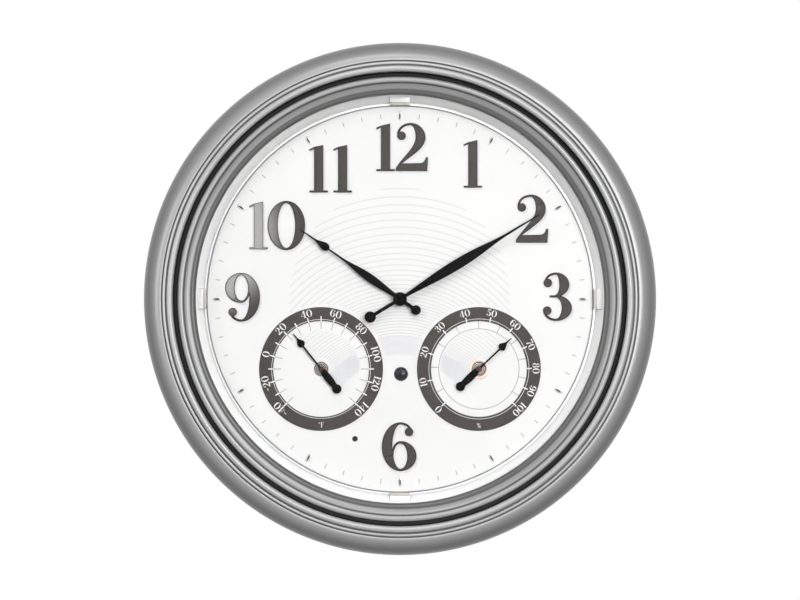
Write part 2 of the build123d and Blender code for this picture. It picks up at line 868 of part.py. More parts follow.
# Hands: leaf shaped blades with a needle ahead and a round counterweight behind
hour_shares = (
    (-0.018, 0.04),
    ((-0.018, 0.12), (-0.0345, 0.2), (-0.0345, 0.3)),
    ((-0.0345, 0.42), (-0.0085, 0.5), (-0.008, 0.6)),
    (-0.0065, 0.72),
    ((-0.034, 0.722), (-0.034, 0.755)),
    ((-0.034, 0.79), (-0.012, 0.815), (-0.008, 0.86)),
    (-0.004, 1),
    (0.004, 1),
    (0.008, 0.86),
    ((0.012, 0.815), (0.034, 0.79), (0.034, 0.755)),
    ((0.034, 0.722), (0.0065, 0.72)),
    (0.008, 0.6),
    ((0.0085, 0.5), (0.0345, 0.42), (0.0345, 0.3)),
    ((0.0345, 0.2), (0.018, 0.12), (0.018, 0.04)),
)
minute_shares = (
    (-0.0105, 0.02),
    ((-0.0105, 0.12), (-0.032, 0.24), (-0.032, 0.41)),
    ((-0.032, 0.58), (-0.0095, 0.66), (-0.0075, 0.76)),
    (-0.0032, 1),
    (0.0032, 1),
    (0.0075, 0.76),
    ((0.0095, 0.66), (0.032, 0.58), (0.032, 0.41)),
    ((0.032, 0.24), (0.0105, 0.12), (0.0105, 0.02)),
)
hour_tail_shares = (0.161, 0.041, 0.016)
minute_tail_shares = (0.214, 0.035, 0.0105)


def hand(tip_r, outline_shares, tail_shares, hole_r, up, angle):
    """A flat hand: blade, hub, and a tail bar that ends in a disc."""
    tail_r, disc_r, bar_half = (share * tip_r for share in tail_shares)
    outline = share_outline(tip_r, outline_shares)
    outline += Circle(hand_boss_r)
    outline += Pos(0, -tail_r / 2) * Rectangle(2 * bar_half, tail_r)
    outline += Pos(0, -tail_r) * Circle(disc_r)
    back = dial_d + up
    solid = plate(outline, back, back + hand_t)
    solid -= rod(hole_r, back - overrun, back + hand_t + overrun)
    return about(solid, angle)


hour_d = dial_d + hour_hand_up
minute_d = dial_d + minute_hand_up
hour_hand = hand(hour_tip_r, hour_shares, hour_tail_shares, tube_r, hour_hand_up, hour_angle)
keep("hour_hand", hour_hand)
minute_hand = hand(minute_tip_r, minute_shares, minute_tail_shares, thread_r, minute_hand_up, minute_angle)
keep("minute_hand", minute_hand)
nut_back_d = minute_d + hand_t
hand_nut = turned(
    (0, nut_back_d),
    (hand_nut_r, nut_back_d),
    (hand_nut_r, nut_back_d + hand_nut_t / 2),
    ((hand_nut_r, nut_back_d + hand_nut_t), (0, nut_back_d + hand_nut_t)),
)
thread_top_d = minute_d + thread_len
hand_nut -= rod(thread_r, nut_back_d - overrun, thread_top_d)
keep("hand_nut", hand_nut)

# Movement case: a box behind the dial with a threaded bushing through it. The upper room holds the
# gears and the motor, the lower one the cell.
move_front_d = dial_back_d - washer_t
move_back_d = move_front_d - move_deep
room_top_d = move_front_d - move_wall
room_back_d = move_back_d - overrun
room_low_z = split_z + move_split_t
case = block(-move_half_w, move_half_w, move_back_d, move_front_d, -move_half_h, move_half_h)
case -= block(-room_half_w, room_half_w, room_back_d, room_top_d, room_low_z, room_half_h)
case -= block(-room_half_w, room_half_w, room_back_d, room_top_d, -room_half_h, split_z)
case += rod(bushing_r, move_front_d, move_front_d + bushing_len)
case -= rod(tube_r + run_clear, room_top_d - overrun, move_front_d + bushing_len + overrun)
case -= rod(pivot_r + run_clear, room_top_d - overrun, room_top_d + pivot_seat_share * move_wall, 0, train_z)
keep("movement_case", case)

cover_back_d = move_back_d - move_cover_t
cover_low_z = split_z + move_split_t / 2
cover = block(-move_half_w, move_half_w, cover_back_d, move_back_d, cover_low_z, move_half_h)
cover -= rod(pivot_r + run_clear, cover_back_d - overrun, move_back_d + overrun)
cover -= rod(stem_r + run_clear, cover_back_d - overrun, move_back_d + overrun, 0, train_z)
keep("movement_cover", cover)

keep("movement_washer", tube(washer_r, bushing_r + run_clear, move_front_d, dial_back_d))
nut = plate(RegularPolygon(nut_flat_r, 6, major_radius=False), dial_d, dial_d + nut_t)
nut -= rod(bushing_r, dial_d - overrun, dial_d + nut_t + overrun)
keep("mounting_nut", nut)


def gear(teeth, module, back, thickness, start_angle):
    """A spur gear with straight sided teeth. The first tooth points along the start angle."""
    root_r = module * (teeth / 2 - tooth_root_share)
    tip_r = module * (teeth / 2 + tooth_tip_share)
    pitch = 360 / teeth
    foot = tooth_foot_share * tooth_w_share * pitch
    crest = tooth_crest_share * tooth_w_share * pitch
    corners = []
    for number in range(teeth):
        middle = start_angle + pitch * number
        for radius, spread in ((root_r, -foot), (tip_r, -crest), (tip_r, crest), (root_r, foot)):
            turn = radians(middle + spread)
            corners.append((radius * cos(turn), radius * sin(turn)))
    return plate(make_face(Polyline(*corners, close=True)), back, back + thickness)


# Hour wheel: a wheel and the tube that carries the hour hand
hour_wheel_d = room_top_d - hour_wheel_drop
hour_wheel = gear(hour_teeth, hour_module, hour_wheel_d, wheel_t, 0)
hour_wheel += rod(tube_r, hour_wheel_d, hour_d + hand_t)
hour_wheel -= rod(arbor_r + run_clear, hour_wheel_d - overrun, hour_d + hand_t + overrun)
keep("hour_wheel", hour_wheel)

# Minute arbor: a pinion on the shaft that carries the minute hand
minute_wheel_d = hour_wheel_d - minute_wheel_drop
arbor = gear(pinion_teeth, train_module, minute_wheel_d - head_gap, pinion_t, 0)
arbor += rod(arbor_r, minute_wheel_d - head_gap, minute_d)
arbor += rod(thread_r, minute_d, thread_top_d)
arbor += rod(pivot_r, cover_back_d + head_gap, minute_wheel_d)
keep("minute_arbor", arbor)

# Minute wheel and its pinion, on the stem that the setting knob turns
knob_back_d = cover_back_d - knob_gap - knob_t
train = gear(wheel_teeth, train_module, minute_wheel_d, wheel_t, 180 / wheel_teeth)
train += gear(train_pinion_teeth, hour_module, hour_wheel_d - head_gap, pinion_t, 0)
train += rod(stem_r, knob_back_d, hour_wheel_d)
train += rod(pivot_r, hour_wheel_d, room_top_d + move_wall / 2)
keep("minute_wheel", moved(train, 0, train_z))

knob = rod(knob_r, knob_back_d, knob_back_d + knob_t)
for angle in ring_angles(knob_flutes, 0):
    flute = rod(knob_flute_r, knob_back_d - overrun, knob_back_d + knob_t + overrun, knob_r)
    knob -= about(flute, angle)
knob -= rod(stem_r, knob_back_d - overrun, knob_back_d + knob_t + overrun)
keep("setting_knob", moved(knob, 0, train_z))

# Motor block: coil, stator, rotor and reduction wheels sealed in one block
motor_left = -room_half_w + motor_gap
motor_right = -hour_wheel_r - motor_wheel_gap
motor_low_z = room_low_z + motor_foot_gap
motor_back_d = move_back_d + motor_cover_gap
motor = block(motor_left, motor_right, motor_back_d, room_top_d, motor_low_z, room_half_h - motor_gap)
keep("quartz_motor", motor)


def cell(way, depth, z):
    """A round cell that lies along X, with its nub to the side that way gives."""
    ends = (-way * cell_half, way * (cell_body_len - cell_half))
    nub = (ends[1], way * cell_half)
    body = bar_x(cell_r, min(ends), max(ends), depth, z)
    return body + bar_x(cell_nub_r, min(nub), max(nub), depth, z)


def contact(side, depth, z):
    """A spring steel plate that stands across the end of a cell."""
    reach = cell_r - cell_end_gap
    near, far = side * cell_half, side * (cell_half + contact_t)
    return block(min(near, far), max(near, far), depth - reach, depth + reach, z - reach, z + reach)


move_cell_z = split_z - cell_r - cell_end_gap
move_cell_d = room_top_d - cell_r - cell_seat_gap
keep("movement_cell", cell(1, move_cell_d, move_cell_z))
contacts = [contact(side, move_cell_d, move_cell_z) for side in (-1, 1)]

# Four cells of the lamps, one above the other below the movement, each the other way round
first_row_z = -window_half_h - well_floor_t - cell_r - contact_t
row_pitch = 2 * cell_r + cell_row_gap
light_cell_d = well_floor_d - cell_seat_gap - cell_r
light_cells = []
for row in range(cell_rows):
    row_z = first_row_z - row * row_pitch
    light_cells.append(cell(1 if row % 2 else -1, light_cell_d, row_z))
    contacts += [contact(side, light_cell_d, row_z) for side in (-1, 1)]
keep("light_cells", *light_cells)
keep("battery_contacts", *contacts)

# Rear cover: a flat back with a ring wall that holds the dial forward, ribs outside it, the battery
# well inside it, and the ears of the door's hinge
well_low_z = row_z - cell_r - cell_end_gap
door_low_z = well_low_z - well_wall - hinge_drop
hinge_z = door_low_z - hinge_drop
hinge_d = hinge_r + door_seat_gap
ear_top_d = hinge_d + hinge_r
cover_r = back_r - cover_rim_gap
wire_d = board_back_d + board_t / 2
rear = rod(cover_r, 0, cover_t)
rear += tube(ring_wall_r, ring_wall_r - ring_wall_t, cover_t, dial_back_d)
for angle in ring_angles(rib_count, rib_first_deg):
    rib_in_r = ring_wall_r - ring_wall_t / 2
    rib = block(rib_in_r, inner_wall_r, cover_t, wire_d - wire_r, -rib_t / 2, rib_t / 2)
    rear += about(rib, angle)
rear += block(
    -well_out_w, well_out_w, cover_t, well_front_d, well_low_z - well_wall, well_top_z + well_wall
)
rear -= block(-well_half_w, well_half_w, -overrun, well_floor_d, well_low_z, well_top_z)
rear -= block(
    -door_half_w - door_gap,
    door_half_w + door_gap,
    -overrun,
    well_back_d,
    door_low_z - hinge_gap_z,
    door_top_z + door_gap,
)
rear -= block(
    -window_half_w, window_half_w, -overrun, well_front_d + overrun, -window_half_h, window_half_h
)
contact_rib_x = cell_half + contact_t + cell_end_gap
contact_rib_top_z = first_row_z + cell_r
for side in (-1, 1):
    near, far = side * contact_rib_x, side * (contact_rib_x + contact_rib_t)
    rib_back_d = light_cell_d - cell_r
    rear += block(min(near, far), max(near, far), rib_back_d, well_floor_d, well_low_z, contact_rib_top_z)
board_low_z = sensor_z - board_h / 2
for side in (-1, 1):
    for way in (-1, 1):
        pillar_x = sensor_x + side * pillar_place_share * board_w
        pillar_z = sensor_z + way * pillar_place_share * board_h
        rear += rod(pillar_r, well_front_d, board_back_d, pillar_x, pillar_z)
for side in (-1, 1):
    middle = side * hinge_arm_x
    clear_half = hinge_arm_w / 2 + hinge_side_gap
    gap_low_z = hinge_z - hinge_r - door_ledge
    rear -= block(
        middle - clear_half, middle + clear_half, -overrun, cover_t + overrun, gap_low_z, door_low_z
    )
    for way in (-1, 1):
        near = middle + way * clear_half
        far = near + way * hinge_ear_w
        left, right = min(near, far), max(near, far)
        rear += block(left, right, cover_t, ear_top_d, hinge_z - hinge_r, hinge_z + hinge_r)
        rear -= bar_x(hinge_pin_r, left, right, hinge_d, hinge_z)
for angle in ring_angles(boss_count, boss_first_deg):
    hole_r = case_screw["shank_r"] + screw_clear
    rear -= about(rod(hole_r, -overrun, cover_t + overrun, boss_ring_r), angle)
    recess_r = case_screw["head_r"] + head_gap
    rear -= about(rod(recess_r, -overrun, case_screw["head_t"] + screw_clear, boss_ring_r), angle)
window_r = keyhole_r + hanger_window_margin
rear -= rod(window_r, -overrun, cover_t + overrun, 0, hanger_z)
rear -= rod(window_r, -overrun, cover_t + overrun, 0, hanger_z + keyhole_rise)
rear -= block(-window_r, window_r, -overrun, cover_t + overrun, hanger_z, hanger_z + keyhole_rise)
rivet_z = hanger_z + keyhole_rise / 2
for side in (-1, 1):
    rear -= rod(rivet_r, -overrun, cover_t + overrun, side * rivet_x, rivet_z)
lead_half = lead_notch_w / 2
notch_low_z = -ring_wall_r - overrun
notch_high_z = -ring_wall_r + ring_wall_t + overrun
rear -= block(-lead_half, lead_half, wire_d - 2 * wire_r, dial_back_d + overrun, notch_low_z, notch_high_z)
keep("rear_cover", rear)

seal_out = back_r - seal_rim_gap
seal_in = back_r - wall + seal_rim_gap
keep("rear_seal", tube(seal_out, seal_in, cover_t, frame_back_d))
case_screws = [
    screw(0, 0, case_screw["head_t"] + screw_clear, case_screw, boss_ring_r, angle)
    for angle in ring_angles(boss_count, boss_first_deg)
]
keep("case_screws", *case_screws)

# Access door, hinged at its lower edge, and its two pins
door = block(-door_half_w, door_half_w, 0, door_t, door_low_z, door_top_z)
door -= rod(finger_r, -overrun, finger_deep, 0, door_top_z)
round_d_share = 0.5
round_z_share = 0.866
arm_outline = chain(
    (0, door_low_z),
    (-(hinge_d - hinge_r), hinge_z),
    (-hinge_d, hinge_z),
    (-hinge_d - round_d_share * hinge_r, hinge_z + round_z_share * hinge_r),
    (-door_t, door_low_z + door_ledge / 2),
    (0, door_low_z + door_ledge / 2),
)
arm_outline += Pos(-hinge_d, hinge_z) * Circle(hinge_r)
for side in (-1, 1):
    start_x = side * hinge_arm_x - hinge_arm_w / 2
    end_x = start_x + hinge_arm_w
    door += extrude(Plane.YZ.offset(start_x) * arm_outline, amount=hinge_arm_w)
    door -= bar_x(hinge_pin_r + hinge_run, start_x - overrun, end_x + overrun, hinge_d, hinge_z)
keep("access_door", door)
pin_half = hinge_arm_w / 2 + hinge_side_gap + hinge_ear_w
pins = []
for side in (-1, 1):
    middle = side * hinge_arm_x
    pins.append(bar_x(hinge_pin_r, middle - pin_half, middle + pin_half, hinge_d, hinge_z))
keep("hinge_pins", *pins)

# Keyhole plate behind the back's window, and its rivets
plate_low = hanger_z - keyhole_r - hanger_margin
plate_high = hanger_z + keyhole_rise + keyhole_slot_w / 2 + hanger_margin
hanger_top_d = cover_t + hanger_plate_t
hanger = block(-hanger_plate_w / 2, hanger_plate_w / 2, cover_t, hanger_top_d, plate_low, plate_high)
hanger -= rod(keyhole_r, 0, hanger_top_d + overrun, 0, hanger_z)
slot_half = keyhole_slot_w / 2
hanger -= rod(slot_half, 0, hanger_top_d + overrun, 0, hanger_z + keyhole_rise)
hanger -= block(-slot_half, slot_half, 0, hanger_top_d + overrun, hanger_z, hanger_z + keyhole_rise)
rivets = []
for side in (-1, 1):
    hanger -= rod(rivet_r, 0, hanger_top_d + overrun, side * rivet_x, rivet_z)
    rivet = rod(rivet_r, rim_gap, hanger_top_d, side * rivet_x, rivet_z)
    rivet += rod(rivet_head_r, hanger_top_d, hanger_top_d + rivet_head_t, side * rivet_x, rivet_z)
    rivets.append(rivet)
keep("hanger_plate", hanger)
keep("hanger_rivets", *rivets)

# Lamps: a housing in each pocket of the reflector and a diffuser facing the dial
housings = []
lenses = []
for angle in lamp_angles:
    housing = block(
        -lamp_w / 2, lamp_w / 2, ring_top_d, ring_top_d + lamp_housing_h, housing_in_r, housing_out_r
    )
    lens = block(-lamp_w / 2, lamp_w / 2, ring_top_d, ring_top_d + lamp_lens_h, lamp_in_r, housing_in_r)
    housings.append(about(housing, angle))
    lenses.append(about(lens, angle))
keep("led_housings", *housings)
keep("led_lenses", *lenses)

# Wiring ring that lies on the cover's ribs, eight sided in section like a taped bundle, with a riser
# to each lamp and a lead to the board
bundle_shares = (
    (1, 0.414),
    (0.414, 1),
    (-0.414, 1),
    (-1, 0.414),
    (-1, -0.414),
    (-0.414, -1),
    (0.414, -1),
    (1, -0.414),
)
wiring = turned(*[(wire_ring_r + across * wire_r, wire_d + up * wire_r) for across, up in bundle_shares])
for angle in lamp_angles:
    wiring += about(rod(wire_branch_r, wire_d, ring_top_d, 0, wire_ring_r), angle)
lead_end = Plane.XY.offset(-wire_ring_r) * (Pos(0, -wire_d) * Circle(wire_branch_r))
wiring += extrude(lead_end, amount=board_low_z + wire_ring_r)
keep("led_wiring", wiring)

# Circuit board of the lamps, the sensor's lens in front of it, and the photocell
board = block(
    sensor_x - board_w / 2, sensor_x + board_w / 2, board_back_d, board_d, board_low_z, board_low_z + board_h
)
keep("light_board", board)
flange_top_d = dial_d + sensor_flange_t
sensor = rod(sensor_barrel_r, board_d, dial_d)
sensor += rod(sensor_ring_r, dial_d, flange_top_d)
dome = turned(
    (0, flange_top_d),
    (sensor_dome_r, flange_top_d),
    ((sensor_dome_r, flange_top_d + sensor_dome_t), (0, flange_top_d + sensor_dome_t)),
)
sensor += dome
keep("sensor_lens", moved(sensor, sensor_x, sensor_z))
photocell = rod(photocell_can_r, dial_back_d - photocell_can_t, dial_back_d)
photocell += rod(photocell_stem_r, dial_back_d, dial_d)
photocell += turned(
    (0, dial_d),
    (photocell_r, dial_d),
    ((photocell_r, dial_d + sensor_dome_t), (0, dial_d + sensor_dome_t)),
)
keep("photocell", moved(photocell, photocell_x, photocell_z))

# Slide switch of the lamps, on the floor of the battery well above the movement
switch_back_d = well_floor_d - switch_t
switch_x = well_half_w - switch_margin - switch_w / 2
switch_z = well_top_z - switch_margin - switch_h / 2
body = block(
    switch_x - switch_w / 2,
    switch_x + switch_w / 2,
    switch_back_d,
    well_floor_d,
    switch_z - switch_h / 2,
    switch_z + switch_h / 2,
)
slot_half_w = slider_w / 2 + slider_travel + slider_clear
slot_half_h = slider_h / 2 + slider_clear
body -= block(
    switch_x - slot_half_w,
    switch_x + slot_half_w,
    switch_back_d - overrun,
    switch_back_d + groove_t,
    switch_z - slot_half_h,
    switch_z + slot_half_h,
)
keep("switch_body", body)
slider = block(
    switch_x - slider_w / 2,
    switch_x + slider_w / 2,
    switch_back_d - slider_out,
    switch_back_d + groove_t - slider_clear,
    switch_z - slider_h / 2,
    switch_z + slider_h / 2,
)
keep("switch_slider", slider)
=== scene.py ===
from math import asin, cos, hypot, pi, radians, sin

import bmesh
import bpy
from mathutils import Euler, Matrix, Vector


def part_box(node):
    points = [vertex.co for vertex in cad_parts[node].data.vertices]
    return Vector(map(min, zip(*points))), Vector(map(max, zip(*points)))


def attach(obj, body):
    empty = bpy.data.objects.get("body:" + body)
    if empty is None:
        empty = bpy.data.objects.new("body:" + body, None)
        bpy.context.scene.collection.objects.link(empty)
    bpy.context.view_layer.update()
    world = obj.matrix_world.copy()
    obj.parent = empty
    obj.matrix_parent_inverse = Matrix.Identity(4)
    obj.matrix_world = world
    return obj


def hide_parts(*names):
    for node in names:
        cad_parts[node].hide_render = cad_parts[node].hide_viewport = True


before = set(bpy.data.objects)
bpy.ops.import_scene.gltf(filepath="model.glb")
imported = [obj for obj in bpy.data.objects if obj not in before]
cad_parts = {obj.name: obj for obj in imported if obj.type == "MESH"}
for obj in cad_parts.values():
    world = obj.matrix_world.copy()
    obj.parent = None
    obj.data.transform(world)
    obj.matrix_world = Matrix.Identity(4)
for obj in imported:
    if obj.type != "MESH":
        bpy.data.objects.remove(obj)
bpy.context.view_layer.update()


# Camera: straight in front of the dial, so far off that the depth of the frame hardly shows. The photo
# shows the rim of the frame 513 pixels wide, and the axis of the hands one pixel above its own middle.
def add_object(name, data):
    """An object in the scene."""
    made = bpy.data.objects.new(name, data)
    bpy.context.scene.collection.objects.link(made)
    return made


photo_width_px = 800
frame_radius_px = 256.5
axis_above_middle_px = 1
frame_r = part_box("outer_frame")[1][0]
px = frame_r / frame_radius_px
sensor_width = 36
camera_away = 6.0
rim_depth = 0.0444
camera_data = bpy.data.cameras.new("camera")
camera_data.sensor_width = sensor_width
camera_data.lens = sensor_width * (camera_away - rim_depth) / (photo_width_px * px)
camera = add_object("camera", camera_data)
camera.location = (0, -camera_away, -axis_above_middle_px * px)
camera.rotation_euler = (radians(90), 0, 0)
bpy.context.scene.camera = camera
bpy.context.scene.view_settings.view_transform = "Standard"


# Studio: a pale floor that can't be seen from below, a surround that is white to the camera, gloss and
# glass and lights the clock faintly, and soft lamps to the left, above, and in front to the right.
def linear(hex_colour):
    """An sRGB hex colour as the linear values that shaders take."""
    channels = [int(hex_colour[at : at + 2], 16) / 255 for at in (1, 3, 5)]
    return [c / 12.92 if c <= 0.04045 else ((c + 0.055) / 1.055) ** 2.4 for c in channels] + [1]


def add_node(tree, kind, inputs=None, **settings):
    """One node, with its settings. Each input is a value, an output, or a node for its first output."""
    made = tree.nodes.new(kind)
    for name, value in settings.items():
        setattr(made, name, value)
    for key, value in (inputs or {}).items():
        if isinstance(value, bpy.types.Node):
            value = value.outputs[0]
        if isinstance(value, bpy.types.NodeSocket):
            tree.links.new(value, made.inputs[key])
        else:
            made.inputs[key].default_value = value
    return made


def seen_directly(tree):
    """1 for rays from the camera, off gloss and through glass, and 0 for the light on the object."""
    path = add_node(tree, "ShaderNodeLightPath")
    seen = path.outputs["Is Camera Ray"]
    for kind in ("Is Glossy Ray", "Is Transmission Ray"):
        either = add_node(tree, "ShaderNodeMath", {0: seen, 1: path.outputs[kind]}, operation="MAXIMUM")
        seen = either.outputs[0]
    unspread = add_node(
        tree, "ShaderNodeMath", {0: path.outputs["Diffuse Depth"], 1: 0.5}, operation="LESS_THAN"
    )
    last = add_node(tree, "ShaderNodeMath", {0: seen, 1: unspread}, operation="MULTIPLY")
    return last.outputs[0]


surround_light = 0.32
world = bpy.data.worlds.new("studio")
bpy.context.scene.world = world
world.use_nodes = True
world.node_tree.nodes.clear()
surround_strength = add_node(
    world.node_tree,
    "ShaderNodeMapRange",
    {"Value": seen_directly(world.node_tree), "To Min": surround_light, "To Max": 1.0},
)
surround = add_node(
    world.node_tree, "ShaderNodeBackground", {"Color": (1, 1, 1, 1), "Strength": surround_strength}
)
add_node(world.node_tree, "ShaderNodeOutputWorld", {"Surface": surround})

floor_drop = 0.9
floor_size = 12.0
floor_glow_share = 0.97
floor_mesh = bpy.data.meshes.new("studio_floor")
floor_corners = [(x, y, -floor_drop) for x, y in ((-1, -1), (1, -1), (1, 1), (-1, 1))]
floor_mesh.from_pydata([(x * floor_size, y * floor_size, z) for x, y, z in floor_corners], [], [(0, 1, 2, 3)])
studio_floor = add_object("studio_floor", floor_mesh)
floor_paint = bpy.data.materials.new("studio_floor_paint")
floor_paint.use_nodes = True
floor_tree = floor_paint.node_tree
floor_tree.nodes.clear()
floor_glow = add_node(
    floor_tree, "ShaderNodeEmission", {"Color": (1, 1, 1, 1), "Strength": seen_directly(floor_tree)}
)
floor_diffuse = add_node(floor_tree, "ShaderNodeBsdfDiffuse", {"Color": linear("#E8E8E8")})
floor_mix = add_node(
    floor_tree, "ShaderNodeMixShader", {"Fac": floor_glow_share, 1: floor_diffuse, 2: floor_glow}
)
from_below = add_node(floor_tree, "ShaderNodeNewGeometry").outputs["Backfacing"]
unseen = add_node(floor_tree, "ShaderNodeBsdfTransparent", {"Color": (1, 1, 1, 1)})
floor_side = add_node(floor_tree, "ShaderNodeMixShader", {"Fac": from_below, 1: floor_mix, 2: unseen})
add_node(floor_tree, "ShaderNodeOutputMaterial", {"Surface": floor_side})
floor_mesh.materials.append(floor_paint)


def soft_lamp(name, place, size, power):
    """A square lamp aimed at the middle of the dial."""
    data = bpy.data.lights.new(name, "AREA")
    data.size = size
    data.energy = power
    lamp = add_object(name, data)
    lamp.location = place
    lamp.rotation_euler = Vector(place).to_track_quat("Z", "Y").to_euler()
    lamp.visible_camera = False


soft_lamp("left_softbox", (-2.4, -2.2, 0.4), 1.5, 15.6)
soft_lamp("top_softbox", (-0.3, -2.2, 2.5), 1.5, 15)
soft_lamp("front_fill", (1.1, -2.9, 0.5), 1.7, 36)


# Outer frame: one moulded ring with a wide rolled bead, a fine bead between two grooves and a second
# bead over the channel. Cast metal with a satin pewter paint, turned here from its section.
MM = 0.001
ring_steps = 360
sharp_edge_deg, rounded_edge_deg = 38, 25


def new_tree(name, **kinds):
    """A tree that grows one geometry from another: the tree, its named inputs and their identifiers."""
    tree = bpy.data.node_groups.new(name, "GeometryNodeTree")
    tree.interface.new_socket("Base", in_out="INPUT", socket_type="NodeSocketGeometry")
    identifiers = {}
    for key, kind in kinds.items():
        socket = tree.interface.new_socket(key, in_out="INPUT", socket_type="NodeSocket" + kind)
        identifiers[key] = socket.identifier
    tree.interface.new_socket("Grown", in_out="OUTPUT", socket_type="NodeSocketGeometry")
    return tree, add_node(tree, "NodeGroupInput").outputs, identifiers


def end_tree(tree, given, made):
    """Ends a tree: what it made becomes plain mesh, in the finish that was given."""
    real = add_node(tree, "GeometryNodeRealizeInstances", {"Geometry": made})
    painted = add_node(tree, "GeometryNodeSetMaterial", {"Geometry": real, "Material": given["Finish"]})
    add_node(tree, "NodeGroupOutput", {"Grown": painted})


def turned_ring_tree():
    """Turns a closed section, drawn as radius and depth, about the axis of the hands."""
    tree, given, identifiers = new_tree(
        "turned_ring", Steps="Int", Radius="Float", Middle="Vector", Finish="Material"
    )
    section = add_node(tree, "GeometryNodeMeshToCurve", {"Mesh": given["Base"]})
    path = add_node(
        tree, "GeometryNodeCurvePrimitiveCircle", {"Resolution": given["Steps"], "Radius": given["Radius"]}
    )
    ring = add_node(
        tree,
        "GeometryNodeCurveToMesh",
        {"Curve": path.outputs["Curve"], "Profile Curve": section.outputs["Curve"]},
    )
    upright = add_node(
        tree,
        "GeometryNodeTransform",
        {"Geometry": ring, "Translation": given["Middle"], "Rotation": Euler((-pi / 2, 0, 0))},
    )
    angle = add_node(tree, "GeometryNodeInputMeshEdgeAngle")
    is_sharp = add_node(
        tree,
        "FunctionNodeCompare",
        {0: angle.outputs["Unsigned Angle"], 1: radians(sharp_edge_deg)},
        operation="GREATER_THAN",
    )
    smooth = add_node(tree, "GeometryNodeSetShadeSmooth", {"Geometry": upright})
    creased = add_node(
        tree,
        "GeometryNodeSetShadeSmooth",
        {"Geometry": smooth, "Selection": is_sharp, "Shade Smooth": False},
        domain="EDGE",
    )
    end_tree(tree, given, creased.outputs[0])
    return tree, identifiers


def grown(name, mesh, tree_and_identifiers, values):
    """Runs a tree on a base mesh and keeps what it grows as a plain mesh object."""
    tree, identifiers = tree_and_identifiers
    seed = add_object(name + "_base", mesh)
    modifier = seed.modifiers.new("grow", "NODES")
    modifier.node_group = tree
    for key, value in values.items():
        modifier[identifiers[key]] = value
    depsgraph = bpy.context.evaluated_depsgraph_get()
    plain = bpy.data.meshes.new_from_object(seed.evaluated_get(depsgraph))
    plain.name = name
    seed.modifiers.remove(modifier)
    bpy.data.objects.remove(seed)
    return add_object(name, plain)


def section_mesh(points):
    """A closed section as a loop of edges, in metres, run so that its faces will point outwards."""
    turn = sum(a[0] * b[1] - b[0] * a[1] for a, b in zip(points, points[1:] + points[:1]))
    if turn < 0:
        points = points[::-1]
    mesh = bpy.data.meshes.new("section")
    count = len(points)
    edges = [(at, (at + 1) % count) for at in range(count)]
    mesh.from_pydata([(x * MM, y * MM, 0) for x, y in points], edges, [])
    return mesh


def turned(name, points, finish, middle=(0, 0), steps=ring_steps):
    """A ring turned from a section in millimetres: radius, then depth from the wall."""
    base_r = min(x for x, _ in points) * MM
    shifted = [(x - base_r / MM, y) for x, y in points]
    place = (middle[0] * MM, 0, middle[1] * MM)
    values = {"Steps": steps, "Radius": base_r, "Middle": place, "Finish": finish}
    return grown(name, section_mesh(shifted), turned_ring, values)


def fitted(piece, slot, *nodes, body="case"):
    """The piece rides on a body and stands for CAD nodes, if any; the slot is not used."""
    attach(piece, body)
    if nodes:
        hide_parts(*nodes)


def bend(centre, reach, first_deg, last_deg, steps):
    """Points along part of an ellipse, in radius and depth."""
    angles = [radians(first_deg + (last_deg - first_deg) * at / steps) for at in range(steps + 1)]
    return [(centre[0] + reach[0] * cos(a), centre[1] + reach[1] * sin(a)) for a in angles]


def new_finish(name, **values):
    """A material with one shader, whose plain values are set on its own sockets."""
    material = bpy.data.materials.new(name)
    material.use_nodes = True
    shader = material.node_tree.nodes["Principled BSDF"]
    for socket, value in values.items():
        shader.inputs[socket.replace("_", " ")].default_value = value
    return material, material.node_tree, shader


def place_and_radius(tree):
    """Object coordinates, and the distance from the axis of the hands."""
    place = add_node(tree, "ShaderNodeTexCoord")
    split = add_node(tree, "ShaderNodeSeparateXYZ", {0: place.outputs["Object"]})
    flat = add_node(tree, "ShaderNodeCombineXYZ", {"X": split.outputs["X"], "Y": split.outputs["Z"]})
    radius = add_node(tree, "ShaderNodeVectorMath", {0: flat}, operation="LENGTH")
    return place.outputs["Object"], radius.outputs["Value"]


def tone_ramp(tree, value, tones):
    """Colours along a length: each tone is its place in millimetres and an sRGB colour."""
    low, high = tones[0][0], tones[-1][0]
    share = add_node(
        tree, "ShaderNodeMapRange", {"Value": value, "From Min": low * MM, "From Max": high * MM}
    )
    ramp = add_node(tree, "ShaderNodeValToRGB", {0: share})
    for at, (length, tone) in enumerate(tones):
        position = (length - low) / (high - low)
        stop = ramp.color_ramp.elements[at] if at < 2 else ramp.color_ramp.elements.new(position)
        stop.position = position
        stop.color = linear(tone)
    return ramp


def vary_brightness(tree, shader, share, colour, factors, shares=(0, 1)):
    """Runs the brightness of a colour between two factors, as a share goes from its low to its high."""
    values = {"Value": share, "From Min": shares[0], "From Max": shares[1]}
    values.update({"To Min": factors[0], "To Max": factors[1]})
    factor = add_node(tree, "ShaderNodeMapRange", values)
    varied = add_node(tree, "ShaderNodeHueSaturation", {"Value": factor, "Color": colour})
    tree.links.new(varied.outputs[0], shader.inputs["Base Color"])


